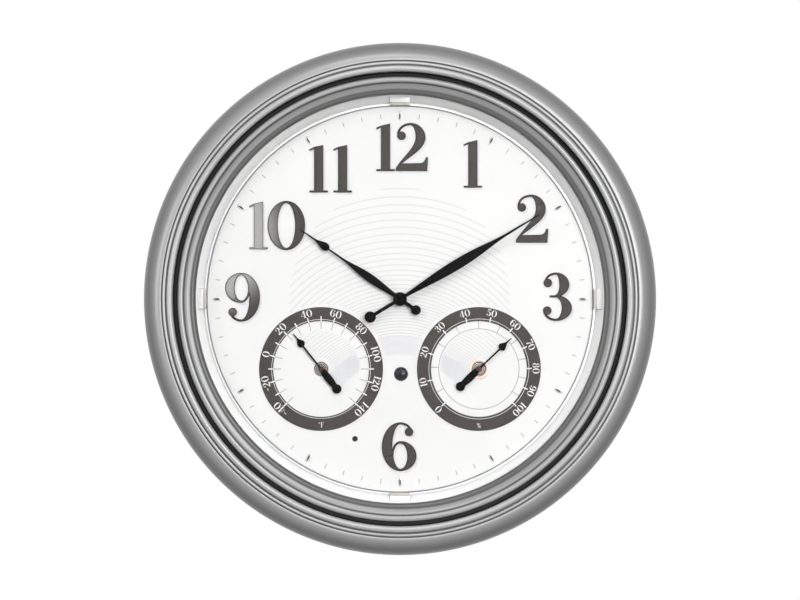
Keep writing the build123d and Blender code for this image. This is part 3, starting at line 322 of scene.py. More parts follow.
def show_grain(tree, shader, grain, tones=(), gloss=(), relief=()):
    """What a grain does to a finish: it runs the colour from one tone to another, runs the roughness, or
    raises the surface by a strength and a depth in millimetres."""
    if tones:
        first, last = [linear(tone) for tone in tones]
        colour = add_node(tree, "ShaderNodeMix", {0: grain, 6: first, 7: last}, data_type="RGBA")
        tree.links.new(colour.outputs[2], shader.inputs["Base Color"])
    if gloss:
        rough = add_node(tree, "ShaderNodeMapRange", {"Value": grain, "To Min": gloss[0], "To Max": gloss[1]})
        tree.links.new(rough.outputs[0], shader.inputs["Roughness"])
    if relief:
        raised = {"Height": grain, "Strength": relief[0], "Distance": relief[1] * MM}
        bump = add_node(tree, "ShaderNodeBump", raised)
        tree.links.new(bump.outputs[0], shader.inputs["Normal"])


def pewter_painted_shade_finish():
    """Satin pewter paint on a casting, with painted shade in the grooves and down the outer side, and painted
    highlights on the crests.
    """
    material, tree, shader = new_finish("satin_pewter_painted_light_and_shade", Metallic=0.25, Roughness=0.3)
    place, radius = place_and_radius(tree)
    # Painted light and shade by radius: dark tones in the grooves, on the lip and down the outer side, bright
    # tones on the crests and the ridge.
    tones = (
        (180.0, "#5D5D5D"),
        (184.5, "#767676"),
        (186.5, "#535353"),
        (188.0, "#A5A5A5"),
        (191.5, "#B6B6B6"),
        (192.8, "#606060"),
        (194.2, "#C3C3C3"),
        (207.2, "#D5D5D5"),
        (207.9, "#858585"),
        (208.6, "#858585"),
        (209.3, "#DBDBDB"),
        (211.2, "#DBDBDB"),
        (211.7, "#6A6A6A"),
        (212.4, "#6A6A6A"),
        (213.0, "#DDDDDD"),
        (215.0, "#BABABA"),
        (218.5, "#AAAAAA"),
        (223.5, "#888888"),
        (226.5, "#787878"),
        (228.8, "#707070"),
    )
    ramp = tone_ramp(tree, radius, tones)
    flake = add_node(tree, "ShaderNodeTexNoise", {"Vector": place, "Scale": 1 / (0.6 * MM), "Detail": 2})
    cloud = add_node(tree, "ShaderNodeTexNoise", {"Vector": place, "Scale": 1 / (60 * MM), "Detail": 3})
    blend = add_node(tree, "ShaderNodeMath", {0: flake, 1: cloud}, operation="ADD")
    vary_brightness(tree, shader, blend, ramp, (0.95, 1.03), (0.6, 1.4))
    show_grain(tree, shader, flake, gloss=(0.27, 0.35), relief=(0.12, 0.05))
    return material


turned_ring = turned_ring_tree()
pewter = pewter_painted_shade_finish()
frame_r_mm = frame_r / MM
back_r = 222.0
side_r = 227.0
crest_d = 59.0
top_d = -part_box("outer_frame")[0][1] / MM
spring_d = 35.0
bead_in_r = 212.5
groove_d = 56.6
frame_section = (
    [(back_r, 3.0), (side_r, 14.0)]
    + bend((bead_in_r, spring_d), (frame_r_mm - bead_in_r, crest_d - spring_d), 0, 86, 44)
    + bend((bead_in_r + 0.5, crest_d - 0.5), (0.5, 0.45), 90, 180, 4)
    + [(bead_in_r, groove_d), (211.6, groove_d)]
    + bend((210.15, crest_d - 1.4), (1.45, 1.4), 0, 180, 14)
    + [(208.7, groove_d), (207.9, groove_d)]
    + bend((205.1, top_d - 3.0), (2.8, 3.0), 0, 180, 18)
    + [(202.3, 47.0), (197.4, 47.0), (197.4, 44.0), (205.3, 44.0), (205.3, 53.6)]
    + bend((bead_in_r, spring_d), (12.6, 18.6), 90, 0, 12)
    + [(224.0, 14.0), (219.0, 3.0)]
)
fitted(turned("moulded_outer_frame", frame_section, pewter), "pewter", "outer_frame")

# Inner bezel: the same casting and paint, with a rolled lip, a hollow cove and a ridge; painted shade darkens
# the lip and the cove, and a painted highlight brightens the ridge. It is held from behind by eight screws,
# and its skirt goes round the glass.
bezel_section = (
    [(189.0, 37.5), (189.0, 44.0), (181.9, 44.0)]
    + bend((185.4, 45.0), (3.5, 4.5), 180, 92, 12)
    + bend((185.4, 52.6), (7.2, 3.1), 272, 358, 16)
    + bend((195.3, 52.6), (2.7, 1.9), 180, 0, 16)
    + [(198.0, 51.4), (197.0, 50.4), (197.0, 44.0), (204.5, 44.0)]
    + [(204.5, 41.0), (191.4, 41.0), (191.4, 37.5)]
)
fitted(turned("moulded_inner_bezel", bezel_section, pewter), "pewter", "inner_bezel")


# Rubber pieces: the round topped seal pressed into the channel between the castings, and behind them
# the gasket of the glass, the back's foam seal and the washer of the movement. All are moulded in black
# rubber, which is matt, with a fine even grain.
def grained_finish(name, spread, detail, shade=None, factors=(), tones=(), gloss=(), relief=(), **values):
    """A finish with one grain, given by its spread in millimetres and what it does. For a shade, it runs
    the brightness between two factors."""
    material, tree, shader = new_finish(name, **values)
    place = add_node(tree, "ShaderNodeTexCoord").outputs["Object"]
    grain = add_node(
        tree, "ShaderNodeTexNoise", {"Vector": place, "Scale": 1 / (spread * MM), "Detail": detail}
    )
    if shade:
        vary_brightness(tree, shader, grain, linear(shade), factors)
    show_grain(tree, shader, grain, tones, gloss, relief)
    return material


rubber = grained_finish(
    "moulded_black_rubber", 0.8, 3, relief=(0.25, 0.1), Base_Color=linear("#17171A"), Roughness=0.62
)
seal_top = bend((199.65, 47.9), (2.6, 1.1), 0, 180, 14)
bezel_seal = turned("channel_seal", [(197.05, 47.0), (202.25, 47.0)] + seal_top, rubber)
fitted(bezel_seal, "black_rubber", "bezel_seal")


def dress(material, *node_names):
    """Gives CAD nodes their finish."""
    for name in node_names:
        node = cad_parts[name]
        if not node.material_slots:
            node.data.materials.append(material)
        for held in node.material_slots:
            held.material = material


dress(rubber, "glass_gasket", "rear_seal", "movement_washer")


# Glass: a flat pane of coated low glare glass, 3 mm thick, held between the bezel and the reflector.
# Its coating takes most of the mirror away, so its index is set below that of plain glass.
def glass_finish():
    """Clear coated glass that lets lamp light through to the dial."""
    material, tree, shader = new_finish(
        "coated_clear_glass", Base_Color=linear("#FDFDFD"), Roughness=0.0, IOR=1.12, Transmission_Weight=1.0
    )
    path = add_node(tree, "ShaderNodeLightPath")
    through = add_node(tree, "ShaderNodeBsdfTransparent", {"Color": linear("#FBFBFB")})
    either = add_node(
        tree, "ShaderNodeMixShader", {"Fac": path.outputs["Is Shadow Ray"], 1: shader, 2: through}
    )
    tree.links.new(either.outputs[0], tree.nodes["Material Output"].inputs["Surface"])
    return material


dress(glass_finish(), "glass_lens")


# Reflector and lamp housings: glossy white ABS that spreads the light of the lamps over the dial. It
# has the faint waviness of a large thin moulding.
white_abs = grained_finish(
    "glossy_white_abs", 25, 1, relief=(0.1, 0.2), Base_Color=linear("#FAFAF9"), Roughness=0.18, IOR=1.53
)
dress(white_abs, "reflector_ring")

# Lamps: four modules in pockets of the reflector, at 12, 3, 6 and 9. Each has a white housing and a
# diffuser in frosted polycarbonate of a faintly warm tint, and is off by day.
lamp_half_w = 9.0
lens_in_r, lens_out_r = 172.9, 175.6
housing_out_r = 180.6
lamp_back_d = 30.2
lens_top_d = 36.0
housing_top_d = 37.0
housing_edge, lens_edge, edge_steps = 0.5, 0.6, 3
lamp_count = 4


def ring_of_copies_tree():
    """Copies a shape round an axis, each copy one step further on."""
    tree, given, identifiers = new_tree(
        "ring_of_copies", Count="Int", Step="Float", Middle="Vector", Finish="Material"
    )
    points = add_node(tree, "GeometryNodePoints", {"Count": given["Count"]})
    number = add_node(tree, "GeometryNodeInputIndex").outputs[0]
    angle = add_node(tree, "ShaderNodeMath", {0: number, 1: given["Step"]}, operation="MULTIPLY")
    turn = add_node(tree, "ShaderNodeCombineXYZ", {"Y": angle})
    copies = add_node(
        tree, "GeometryNodeInstanceOnPoints", {"Points": points, "Instance": given["Base"], "Rotation": turn}
    )
    placed = add_node(tree, "GeometryNodeTransform", {"Geometry": copies, "Translation": given["Middle"]})
    end_tree(tree, given, placed.outputs[0])
    return tree, identifiers


ring_of_copies = ring_of_copies_tree()


def ringed(name, mesh, count, finish, middle=(0, 0)):
    """Copies of one mesh round an axis, clockwise from the top as the dial is seen."""
    place = (middle[0] * MM, 0, middle[1] * MM)
    values = {"Count": count, "Step": 2 * pi / count, "Middle": place, "Finish": finish}
    return grown(name, mesh, ring_of_copies, values)


def soften(mesh, width, segments=2):
    """Rounds the sharp edges of a mesh, and shades what is left between them smooth."""
    work = bmesh.new()
    work.from_mesh(mesh)
    limit = radians(rounded_edge_deg)
    sharp = [e for e in work.edges if len(e.link_faces) == 2 and e.calc_face_angle() > limit]
    bevel = {"offset": width, "offset_type": "OFFSET", "segments": segments, "profile": 0.5}
    bmesh.ops.bevel(work, geom=sharp, affect="EDGES", clamp_overlap=True, **bevel)
    for face in work.faces:
        face.smooth = True
    for edge in work.edges:
        if len(edge.link_faces) == 2 and edge.calc_face_angle() > radians(sharp_edge_deg):
            edge.smooth = False
    work.to_mesh(mesh)
    work.free()
    return mesh


def finished(work, name):
    """The mesh that was worked on."""
    mesh = bpy.data.meshes.new(name)
    work.to_mesh(mesh)
    work.free()
    return mesh


def box_mesh(name, low, high, width):
    """A block with rounded edges, from its corners in millimetres."""
    work = bmesh.new()
    bmesh.ops.create_cube(work, size=1)
    for vert in work.verts:
        vert.co = Vector([(low[at] if vert.co[at] < 0 else high[at]) * MM for at in range(3)])
    bmesh.ops.recalc_face_normals(work, faces=work.faces)
    return soften(finished(work, name), width * MM, edge_steps)


housing_low = (-lamp_half_w, -housing_top_d, lens_out_r)
housing_high = (lamp_half_w, -lamp_back_d, housing_out_r)
housing_mesh = box_mesh("lamp_housing", housing_low, housing_high, housing_edge)
fitted(ringed("white_lamp_housings", housing_mesh, lamp_count, white_abs), "white_plastic", "led_housings")
lens_low = (-lamp_half_w, -lens_top_d, lens_in_r)
lens_high = (lamp_half_w, -lamp_back_d, lens_out_r)
lens_mesh = box_mesh("lamp_diffuser", lens_low, lens_high, lens_edge)
frosted_tones = ("#BFBAB1", "#CFCAC1")
frosted = grained_finish("frosted_polycarbonate", 1.5, 3, tones=frosted_tones, Roughness=0.42, IOR=1.58)
fitted(ringed("frosted_lamp_diffusers", lens_mesh, lamp_count, frosted), "lamp_diffuser", "led_lenses")


# Trim ring of the dial: bright satin aluminium, turned with a chamfer inside, and a dark line of painted
# shade next to the dial. The hour markers have the same metal.
def aluminium_painted_shade_finish():
    """Satin aluminium with fine turning marks that run round the ring, and a dark line of painted shade next
    to the dial.
    """
    material, tree, shader = new_finish("satin_turned_aluminium", Metallic=1.0, Roughness=0.35)
    radius = place_and_radius(tree)[1]
    # The dark band just outside the dial is painted shade at the ring's inner edge.
    tones = ((171.8, "#C9CACB"), (171.9, "#6D6E71"), (173.0, "#797A7D"), (173.4, "#CFD0D1"))
    ramp = tone_ramp(tree, radius, tones)
    tree.links.new(ramp.outputs["Color"], shader.inputs["Base Color"])
    mark = add_node(
        tree,
        "ShaderNodeTexNoise",
        {"W": radius, "Scale": 1 / (0.15 * MM), "Detail": 2},
        noise_dimensions="1D",
    )
    show_grain(tree, shader, mark, relief=(0.1, 0.02))
    return material


aluminium = aluminium_painted_shade_finish()
dial_d = -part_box("dial_plate")[0][1] / MM
trim_section = [(172.0, dial_d), (172.0, 29.9), (172.3, 30.2), (174.6, 30.2), (174.8, 30.0), (174.8, dial_d)]
fitted(turned("turned_dial_edge", trim_section, aluminium), "silver_trim", "dial_edge_ring")


# Dial: an aluminium disc with a satin white coat, slightly pearly, with holes for the hands, the
# gauges and the sensors.
def dial_finish():
    """Satin white paint with a trace of pearl."""
    material, tree, shader = new_finish(
        "satin_white_dial_paint", Roughness=0.45, IOR=1.5, Specular_IOR_Level=0.35
    )
    place = add_node(tree, "ShaderNodeTexCoord").outputs["Object"]
    cloud = add_node(tree, "ShaderNodeTexNoise", {"Vector": place, "Scale": 1 / (90 * MM), "Detail": 2})
    peel = add_node(tree, "ShaderNodeTexNoise", {"Vector": place, "Scale": 1 / (1.2 * MM), "Detail": 2})
    show_grain(tree, shader, cloud, tones=("#F1F1F1", "#F7F7F5"))
    show_grain(tree, shader, peel, relief=(0.06, 0.05))
    return material


dress(dial_finish(), "dial_plate")


# Fine lines printed on the dial: a fan of arcs that close up towards the middle, as on an engine
# turned dial, and the minute ticks. Silver grey ink, laid as flat strips just above the paint.
def printed_lines_tree():
    """Lays flat strips along lines that are drawn as the dial is seen."""
    tree, given, identifiers = new_tree("printed_lines", Width="Float", Place="Vector", Finish="Material")
    curve = add_node(tree, "GeometryNodeMeshToCurve", {"Mesh": given["Base"]})
    level = add_node(tree, "GeometryNodeSetCurveNormal", {"Curve": curve}, mode="Z_UP")
    half = add_node(tree, "ShaderNodeMath", {0: given["Width"], 1: 0.5}, operation="MULTIPLY")
    back = add_node(tree, "ShaderNodeMath", {0: half, 1: -1.0}, operation="MULTIPLY")
    left = add_node(tree, "ShaderNodeCombineXYZ", {"X": back})
    right = add_node(tree, "ShaderNodeCombineXYZ", {"X": half})
    across = add_node(tree, "GeometryNodeCurvePrimitiveLine", {"Start": left, "End": right})
    strip = add_node(tree, "GeometryNodeCurveToMesh", {"Curve": level, "Profile Curve": across})
    upright = add_node(
        tree,
        "GeometryNodeTransform",
        {"Geometry": strip, "Translation": given["Place"], "Rotation": Euler((pi / 2, 0, 0))},
    )
    end_tree(tree, given, upright.outputs[0])
    return tree, identifiers


printed_lines = printed_lines_tree()


def line_mesh(runs):
    """Runs of points in millimetres, as the dial is seen, as a mesh of edges."""
    mesh = bpy.data.meshes.new("lines")
    verts, edges = [], []
    for run in runs:
        first = len(verts)
        verts += [(x * MM, z * MM, 0) for x, z in run]
        edges += [(first + at, first + at + 1) for at in range(len(run) - 1)]
    mesh.from_pydata(verts, edges, [])
    return mesh


def printed(name, runs, width, finish, layer=1, base_d=None):
    """Strips of ink along runs of points. Each layer of ink lies a hair above the one before."""
    depth = (dial_d if base_d is None else base_d) + ink_t * layer
    values = {"Width": width * MM, "Place": (0, -depth * MM, 0), "Finish": finish}
    return grown(name, line_mesh(runs), printed_lines, values)


def ink_finish(name, hex_colour, roughness=0.45):
    """Screen printed ink, with the slight unevenness of its cover."""
    return grained_finish(name, 2, 3, hex_colour, (0.94, 1.06), Roughness=roughness)


def inside(point, middle, radius):
    return hypot(point[0] - middle[0], point[1] - middle[1]) < radius


def middle_of(node):
    """The middle of a CAD node in millimetres, as the dial is seen."""
    low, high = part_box(node)
    return ((low[0] + high[0]) / 2 / MM, (low[2] + high[2]) / 2 / MM)


def clipped(run, keep):
    """The stretches of a run of points where keep is true."""
    kept, part = [], []
    for point in run:
        if keep(point):
            part.append(point)
        elif len(part) > 1:
            kept.append(part)
            part = []
        else:
            part = []
    return kept + ([part] if len(part) > 1 else [])


ink_t = 0.015
fan_r = 99.4
fan_first_pitch, fan_last_pitch, fan_pitch_drop = 7.4, 2.67, 0.24
fan_arc_r, fan_bend_z, fan_arc_shrink = 151.5, 69.5, 0.78
fan_low_z, fan_block_z = -33.0, -49.0
fan_margin, fan_line_w, fan_reach_cap = 0.6, 1.05, 0.98
gauge_middles = {name: middle_of(name + "_shaft") for name in ("thermometer", "hygrometer")}
gauge_clear_r = 57.3


def fan_arc(top_z):
    """One arc of the fan, symmetrical about the middle of the dial, given by its highest point."""
    radius = fan_arc_r - fan_arc_shrink * max(0.0, fan_bend_z - top_z)
    reach = asin(min(fan_reach_cap, fan_r / radius))
    steps = 120
    angles = [reach * (2 * at / steps - 1) for at in range(steps + 1)]
    return [(radius * sin(a), top_z - radius * (1 - cos(a))) for a in angles]


def on_open_dial(point):
    free = all(not inside(point, middle, gauge_clear_r) for middle in gauge_middles.values())
    return free and inside(point, (0, 0), fan_r)


fan_runs = []
top_z, pitch = fan_r - fan_margin, fan_first_pitch
while top_z > fan_low_z:
    fan_runs += clipped(fan_arc(top_z), on_open_dial)
    top_z -= pitch
    pitch = max(fan_last_pitch, pitch - fan_pitch_drop)
silver_ink = ink_finish("silver_grey_ink", "#E3E3E4", roughness=0.4)
fitted(printed("fan_of_arcs_print", fan_runs, fan_line_w, silver_ink, 2), "silver_trim")

# Below the last arcs the lines close up to a solid band of a paler, slightly blue ink.
block_pitch, line_overlap = 0.8, 0.05
block_count = round((fan_low_z - fan_block_z) / block_pitch)
block_runs = []
for step in range(1, block_count + 1):
    block_runs += clipped(fan_arc(fan_low_z - step * block_pitch), on_open_dial)
pale_ink = ink_finish("pale_grey_ink", "#ECECEE")
fitted(printed("fan_band_print", block_runs, block_pitch + line_overlap, pale_ink), "silver_trim")


def spot(across, up, turn, middle=(0, 0)):
    """A point across and up from a middle, turned round it clockwise."""
    x = middle[0] + across * cos(turn) + up * sin(turn)
    return (x, middle[1] - across * sin(turn) + up * cos(turn))


minute_count = 60
tick_low_r, tick_high_r, tick_w = 161.4, 165.8, 0.7
tick_runs = []
for minute in range(minute_count):
    turn = 2 * pi * minute / minute_count
    if minute % 5:
        tick_runs.append([spot(0, r, turn) for r in (tick_low_r, tick_high_r)])
grey_ink = ink_finish("grey_ink", "#A9A8A7")
fitted(printed("minute_ticks_print", tick_runs, tick_w, grey_ink), "silver_trim")


# Hour markers: twelve small raised ellipses, silver with a dark core that stands a little higher.
def dome_mesh(name, half_w, half_l, middle_r, base_d, top_d):
    """A low elliptical dome at the top of the dial, its long side towards the middle."""
    around, rows = 32, 5
    verts, faces = [], []
    for row in range(rows):
        turn = radians(90 * row / rows)
        share, depth = cos(turn), base_d + (top_d - base_d) * sin(turn)
        for step in range(around):
            a = 2 * pi * step / around
            x, z = half_w * share * sin(a), middle_r + half_l * share * cos(a)
            verts.append((x * MM, -depth * MM, z * MM))
    verts.append((0, -top_d * MM, middle_r * MM))
    for step in range(around):
        after = (step + 1) % around
        for row in range(rows - 1):
            low, high = row * around, (row + 1) * around
            faces.append((low + step, high + step, high + after, low + after))
        faces.append(((rows - 1) * around + step, len(verts) - 1, (rows - 1) * around + after))
    faces.append(range(around))
    mesh = bpy.data.meshes.new(name)
    mesh.from_pydata(verts, [], faces)
    mesh.polygons.foreach_set("use_smooth", [True] * len(faces))
    return mesh


def gunmetal_painted_reflection_finish():
    """Satin gunmetal paint with a painted reflection that makes it paler towards the left of the dial, where
    the photo shows a reflection.
    """
    material, tree, shader = new_finish(
        "satin_gunmetal_painted_reflection", Metallic=0.1, Roughness=0.4, Specular_IOR_Level=0.2
    )
    place = add_node(tree, "ShaderNodeTexCoord").outputs["Object"]
    # Painted reflection: the colour turns paler round this place, to the left of the dial.
    glint_place, glint_in_r, glint_out_r = (-0.185, -0.029, 0.060), 0.058, 0.087
    apart = add_node(tree, "ShaderNodeVectorMath", {0: place, 1: glint_place}, operation="DISTANCE")
    values = {"Value": apart.outputs["Value"], "From Min": glint_in_r, "From Max": glint_out_r}
    values.update({"To Min": 0.9, "To Max": 0.0})
    pale = add_node(tree, "ShaderNodeMapRange", values, interpolation_type="SMOOTHSTEP")
    colour = add_node(
        tree, "ShaderNodeMix", {0: pale, 6: linear("#47423F"), 7: linear("#B2B1AF")}, data_type="RGBA"
    )
    grain = add_node(tree, "ShaderNodeTexNoise", {"Vector": place, "Scale": 1 / (0.7 * MM), "Detail": 2})
    vary_brightness(tree, shader, grain, colour.outputs[2], (0.93, 1.07))
    show_grain(tree, shader, grain, relief=(0.03, 0.03))
    return material


gunmetal = gunmetal_painted_reflection_finish()
# Dark paint for the marker cores and the gauge edge lines, and painted shade on the numerals' edges.
dark_paint_and_edge_shade = ink_finish("dark_paint_and_painted_edge_shade", "#1E1B1A", roughness=0.7)
hour_count = 12
marker_r = 163.5
marker_half_w, marker_half_l, marker_t = 2.0, 4.25, 0.6
core_half_w, core_half_l, core_low, core_top = 0.85, 2.8, 0.45, 0.75
rim_mesh = dome_mesh("marker_rim", marker_half_w, marker_half_l, marker_r, dial_d, dial_d + marker_t)
fitted(ringed("silver_hour_markers", rim_mesh, hour_count, aluminium), "silver_trim", "hour_markers")
core_mesh = dome_mesh("marker_core", core_half_w, core_half_l, marker_r, dial_d + core_low, dial_d + core_top)
fitted(ringed("dark_marker_cores", core_mesh, hour_count, dark_paint_and_edge_shade), "gunmetal")


# Numerals: eight raised figures with a high contrast cut, in gunmetal paint with a fine dark bead round their
# edges that paints the shade on their bevels, and a printed shade on the dial, down and to the right of each.
weld_gap, front_slack = 0.001, 0.01
flat_angle = radians(0.5)


def cad_work(*node_names):
    """CAD nodes where they stand, as one mesh to work on, its seams welded."""
    work = bmesh.new()
    for name in node_names:
        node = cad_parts[name]
        copy = node.data.copy()
        copy.transform(node.matrix_world)
        work.from_mesh(copy)
        bpy.data.meshes.remove(copy)
    bmesh.ops.remove_doubles(work, verts=work.verts, dist=weld_gap * MM)
    return work


def merge_flat(work):
    """Merges the triangles of each flat face."""
    bmesh.ops.dissolve_limit(work, angle_limit=flat_angle, verts=work.verts, edges=work.edges)


def front_of(node_names, move=(0, 0, 0), front_d=None):
    """The front faces of CAD nodes as one mesh, moved, or laid flat at another depth."""
    work = cad_work(*node_names)
    front_y = min(vert.co.y for vert in work.verts)
    off = [face for face in work.faces if max(v.co.y for v in face.verts) > front_y + front_slack * MM]
    bmesh.ops.delete(work, geom=off, context="FACES")
    merge_flat(work)
    for vert in work.verts:
        vert.co += Vector(move)
        if front_d is not None:
            vert.co.y = -front_d * MM
    return finished(work, "front")


def outline_of(mesh):
    """The outline of a flat mesh, as a mesh of edges."""
    work = bmesh.new()
    work.from_mesh(mesh)
    bmesh.ops.delete(work, geom=work.faces[:], context="FACES_ONLY")
    inner = [edge for edge in work.edges if not edge.is_boundary and not edge.is_wire]
    bmesh.ops.delete(work, geom=inner, context="EDGES")
    return finished(work, "outline")


def edge_bead_tree():
    """Lays a round bead along every edge of a mesh."""
    tree, given, identifiers = new_tree("edge_bead", Radius="Float", Finish="Material")
    curve = add_node(tree, "GeometryNodeMeshToCurve", {"Mesh": given["Base"]})
    circle = add_node(
        tree, "GeometryNodeCurvePrimitiveCircle", {"Resolution": bead_sides, "Radius": given["Radius"]}
    )
    bead = add_node(
        tree,
        "GeometryNodeCurveToMesh",
        {"Curve": curve, "Profile Curve": circle.outputs["Curve"], "Fill Caps": True},
    )
    smooth = add_node(tree, "GeometryNodeSetShadeSmooth", {"Geometry": bead})
    end_tree(tree, given, smooth.outputs[0])
    return tree, identifiers


def flat_piece(name, mesh, finish):
    """An object from a flat printed mesh."""
    mesh.materials.append(finish)
    return add_object(name, mesh)


bead_r, bead_sides = 0.42, 6
edge_bead = edge_bead_tree()
numeral_names = [f"numeral_{value}" for value in (12, 1, 2, 3, 6, 9, 10, 11)]
dress(gunmetal, *numeral_names)
numeral_front = front_of(numeral_names)
outline = outline_of(numeral_front)
# The dark beads paint the shade on the bevelled edges of the numerals.
numeral_edge_shade_beads = grown("numeral_painted_edge_shade_beads", outline, edge_bead, {"Radius": bead_r * MM, "Finish": dark_paint_and_edge_shade})
fitted(numeral_edge_shade_beads, "gunmetal")
shade_shift = 2.2 * MM
shade_mesh = front_of(numeral_names, (shade_shift, 0, -shade_shift), dial_d + 2 * ink_t)
shade_print = flat_piece("numeral_shade_print", shade_mesh, ink_finish("numeral_shade_ink", "#E9E9EB"))
fitted(shade_print, "silver_trim")

# Gauges: two dark rings laid on the dial, printed with scales in white ink. The thermometer counts from
# -40 to 140 in steps of 10 on 270 degrees. The hygrometer counts from 0 to 100, its steps closing up.
ring_in_r, ring_out_r, ring_t = 42.8, 55.29, 0.6
ring_d = dial_d + ring_t
edge_w, gauge_ring_steps = 0.45, 180

# The figures are drawn in shares of their height. A bar has four corners. A bow is part of an elliptical
# ring: its middle, its outer and inner reach across and up, and the angles where it starts and ends. The
# letter d stands for the sign of degrees.
glyph_gap, bow_step_deg = 0.09, 15
glyph_shapes = {
    "0": [("bow", 0.39, 0.5, 0.39, 0.515, 0.195, 0.485, 0, 360)],
    "1": [
        ("bar", 0.097, 0, 0.283, 0, 0.283, 1, 0.097, 1),
        ("bar", 0, 0.88, 0.097, 0.88, 0.097, 0.955, 0, 0.9),
        ("bar", 0, 0, 0.38, 0, 0.38, 0.03, 0, 0.03),
    ],
    "2": [
        ("bow", 0.31, 0.71, 0.307, 0.3, 0.115, 0.27, -30, 90),
        ("bow", 0.31, 0.78, 0.275, 0.23, 0.245, 0.2, 90, 180),
        ("bow", 0.117, 0.745, 0.082, 0.082, 0, 0, 0, 360),
        ("bar", 0.42, 0.6, 0, 0.05, 0.12, 0.1, 0.6, 0.6),
        ("bar", 0, 0, 0.655, 0, 0.655, 0.155, 0, 0.155),
    ],
    "3": [
        ("bow", 0.29, 0.755, 0.275, 0.25, 0.08, 0.22, -90, 90),
        ("bow", 0.29, 0.255, 0.33, 0.265, 0.13, 0.235, -90, 90),
        ("bow", 0.29, 0.79, 0.24, 0.215, 0.21, 0.185, 90, 180),
        ("bow", 0.29, 0.21, 0.265, 0.22, 0.235, 0.19, 180, 270),
        ("bar", 0.16, 0.49, 0.34, 0.49, 0.34, 0.52, 0.16, 0.52),
        ("bow", 0.117, 0.79, 0.08, 0.08, 0, 0, 0, 360),
        ("bow", 0.105, 0.2, 0.08, 0.08, 0, 0, 0, 360),
    ],
    "4": [
        ("bar", 0.4, 0, 0.58, 0, 0.58, 1, 0.4, 1),
        ("bar", 0.42, 1, 0, 0.28, 0.05, 0.28, 0.46, 0.97),
        ("bar", 0, 0.25, 0.7, 0.25, 0.7, 0.285, 0, 0.285),
        ("bar", 0.28, 0, 0.7, 0, 0.7, 0.03, 0.28, 0.03),
    ],
    "5": [
        ("bar", 0.12, 0.86, 0.58, 0.86, 0.58, 1, 0.12, 1),
        ("bar", 0.12, 0.5, 0.15, 0.5, 0.15, 0.9, 0.12, 0.9),
        ("bow", 0.28, 0.32, 0.34, 0.33, 0.14, 0.3, -90, 90),
        ("bow", 0.28, 0.32, 0.17, 0.33, 0.145, 0.3, 90, 150),
        ("bow", 0.28, 0.21, 0.265, 0.22, 0.235, 0.19, 180, 270),
        ("bow", 0.105, 0.2, 0.08, 0.08, 0, 0, 0, 360),
    ],
    "7": [
        ("bar", 0, 0.85, 0.62, 0.85, 0.62, 1, 0, 1),
        ("bar", 0, 0.72, 0.03, 0.72, 0.03, 0.9, 0, 0.9),
        ("bar", 0.6, 0.87, 0.56, 0.87, 0.2, 0, 0.42, 0),
    ],
    "8": [
        ("bow", 0.34, 0.75, 0.28, 0.26, 0.13, 0.23, 0, 360),
        ("bow", 0.34, 0.26, 0.34, 0.27, 0.16, 0.235, 0, 360),
    ],
    "9": [
        ("bow", 0.335, 0.5, 0.385, 0.51, 0.18, 0.48, -90, 90),
        ("bow", 0.335, 0.7, 0.335, 0.31, 0.155, 0.28, 90, 270),
        ("bow", 0.335, 0.7, 0.185, 0.31, 0.155, 0.28, -90, 90),
        ("bow", 0.335, 0.19, 0.24, 0.2, 0.21, 0.17, 180, 270),
        ("bow", 0.15, 0.185, 0.08, 0.08, 0, 0, 0, 360),
    ],
    "-": [("bar", 0.05, 0.42, 0.42, 0.42, 0.42, 0.51, 0.05, 0.51)],
    "d": [("bow", 0.15, 0.85, 0.13, 0.13, 0.07, 0.07, 0, 360)],
    "F": [
        ("bar", 0.1, 0, 0.28, 0, 0.28, 1, 0.1, 1),
        ("bar", 0, 0, 0.38, 0, 0.38, 0.04, 0, 0.04),
        ("bar", 0, 0.95, 0.6, 0.95, 0.6, 1, 0, 1),
        ("bar", 0.56, 0.74, 0.6, 0.74, 0.6, 1, 0.56, 1),
        ("bar", 0.28, 0.47, 0.45, 0.47, 0.45, 0.53, 0.28, 0.53),
    ],
    "%": [
        ("bow", 0.2, 0.75, 0.17, 0.25, 0.08, 0.21, 0, 360),
        ("bow", 0.62, 0.25, 0.17, 0.25, 0.08, 0.21, 0, 360),
        ("bar", 0.16, 0, 0.22, 0, 0.66, 1, 0.6, 1),
    ],
}
glyph_widths = {"0": 0.78, "1": 0.38, "2": 0.675, "3": 0.62, "4": 0.7, "5": 0.62, "7": 0.62, "8": 0.68}
glyph_widths.update({"9": 0.72, "-": 0.47, "d": 0.3, "F": 0.6, "%": 0.82})
glyph_shapes["6"] = [
    (kind, glyph_widths["9"] - numbers[0], 1 - numbers[1], *numbers[2:6], numbers[6] + 180, numbers[7] + 180)
    for kind, *numbers in glyph_shapes["9"]
]
glyph_widths["6"] = glyph_widths["9"]


def glyph_faces(shape):
    """The corners of the flat faces of one part of a figure, in shares of its height."""
    kind, *numbers = shape
    if kind == "bar":
        return [list(zip(numbers[0::2], numbers[1::2]))]
    x, z, out_x, out_z, in_x, in_z, first, last = numbers
    steps = max(4, round((last - first) / bow_step_deg))
    angles = [radians(first + (last - first) * at / steps) for at in range(steps + 1)]
    outer = [(x + out_x * cos(a), z + out_z * sin(a)) for a in angles]
    inner = [(x + in_x * cos(a), z + in_z * sin(a)) for a in angles]
    if in_x == 0:
        return [outer[:-1]]
    return [(inner[at], outer[at], outer[at + 1], inner[at + 1]) for at in range(steps)]


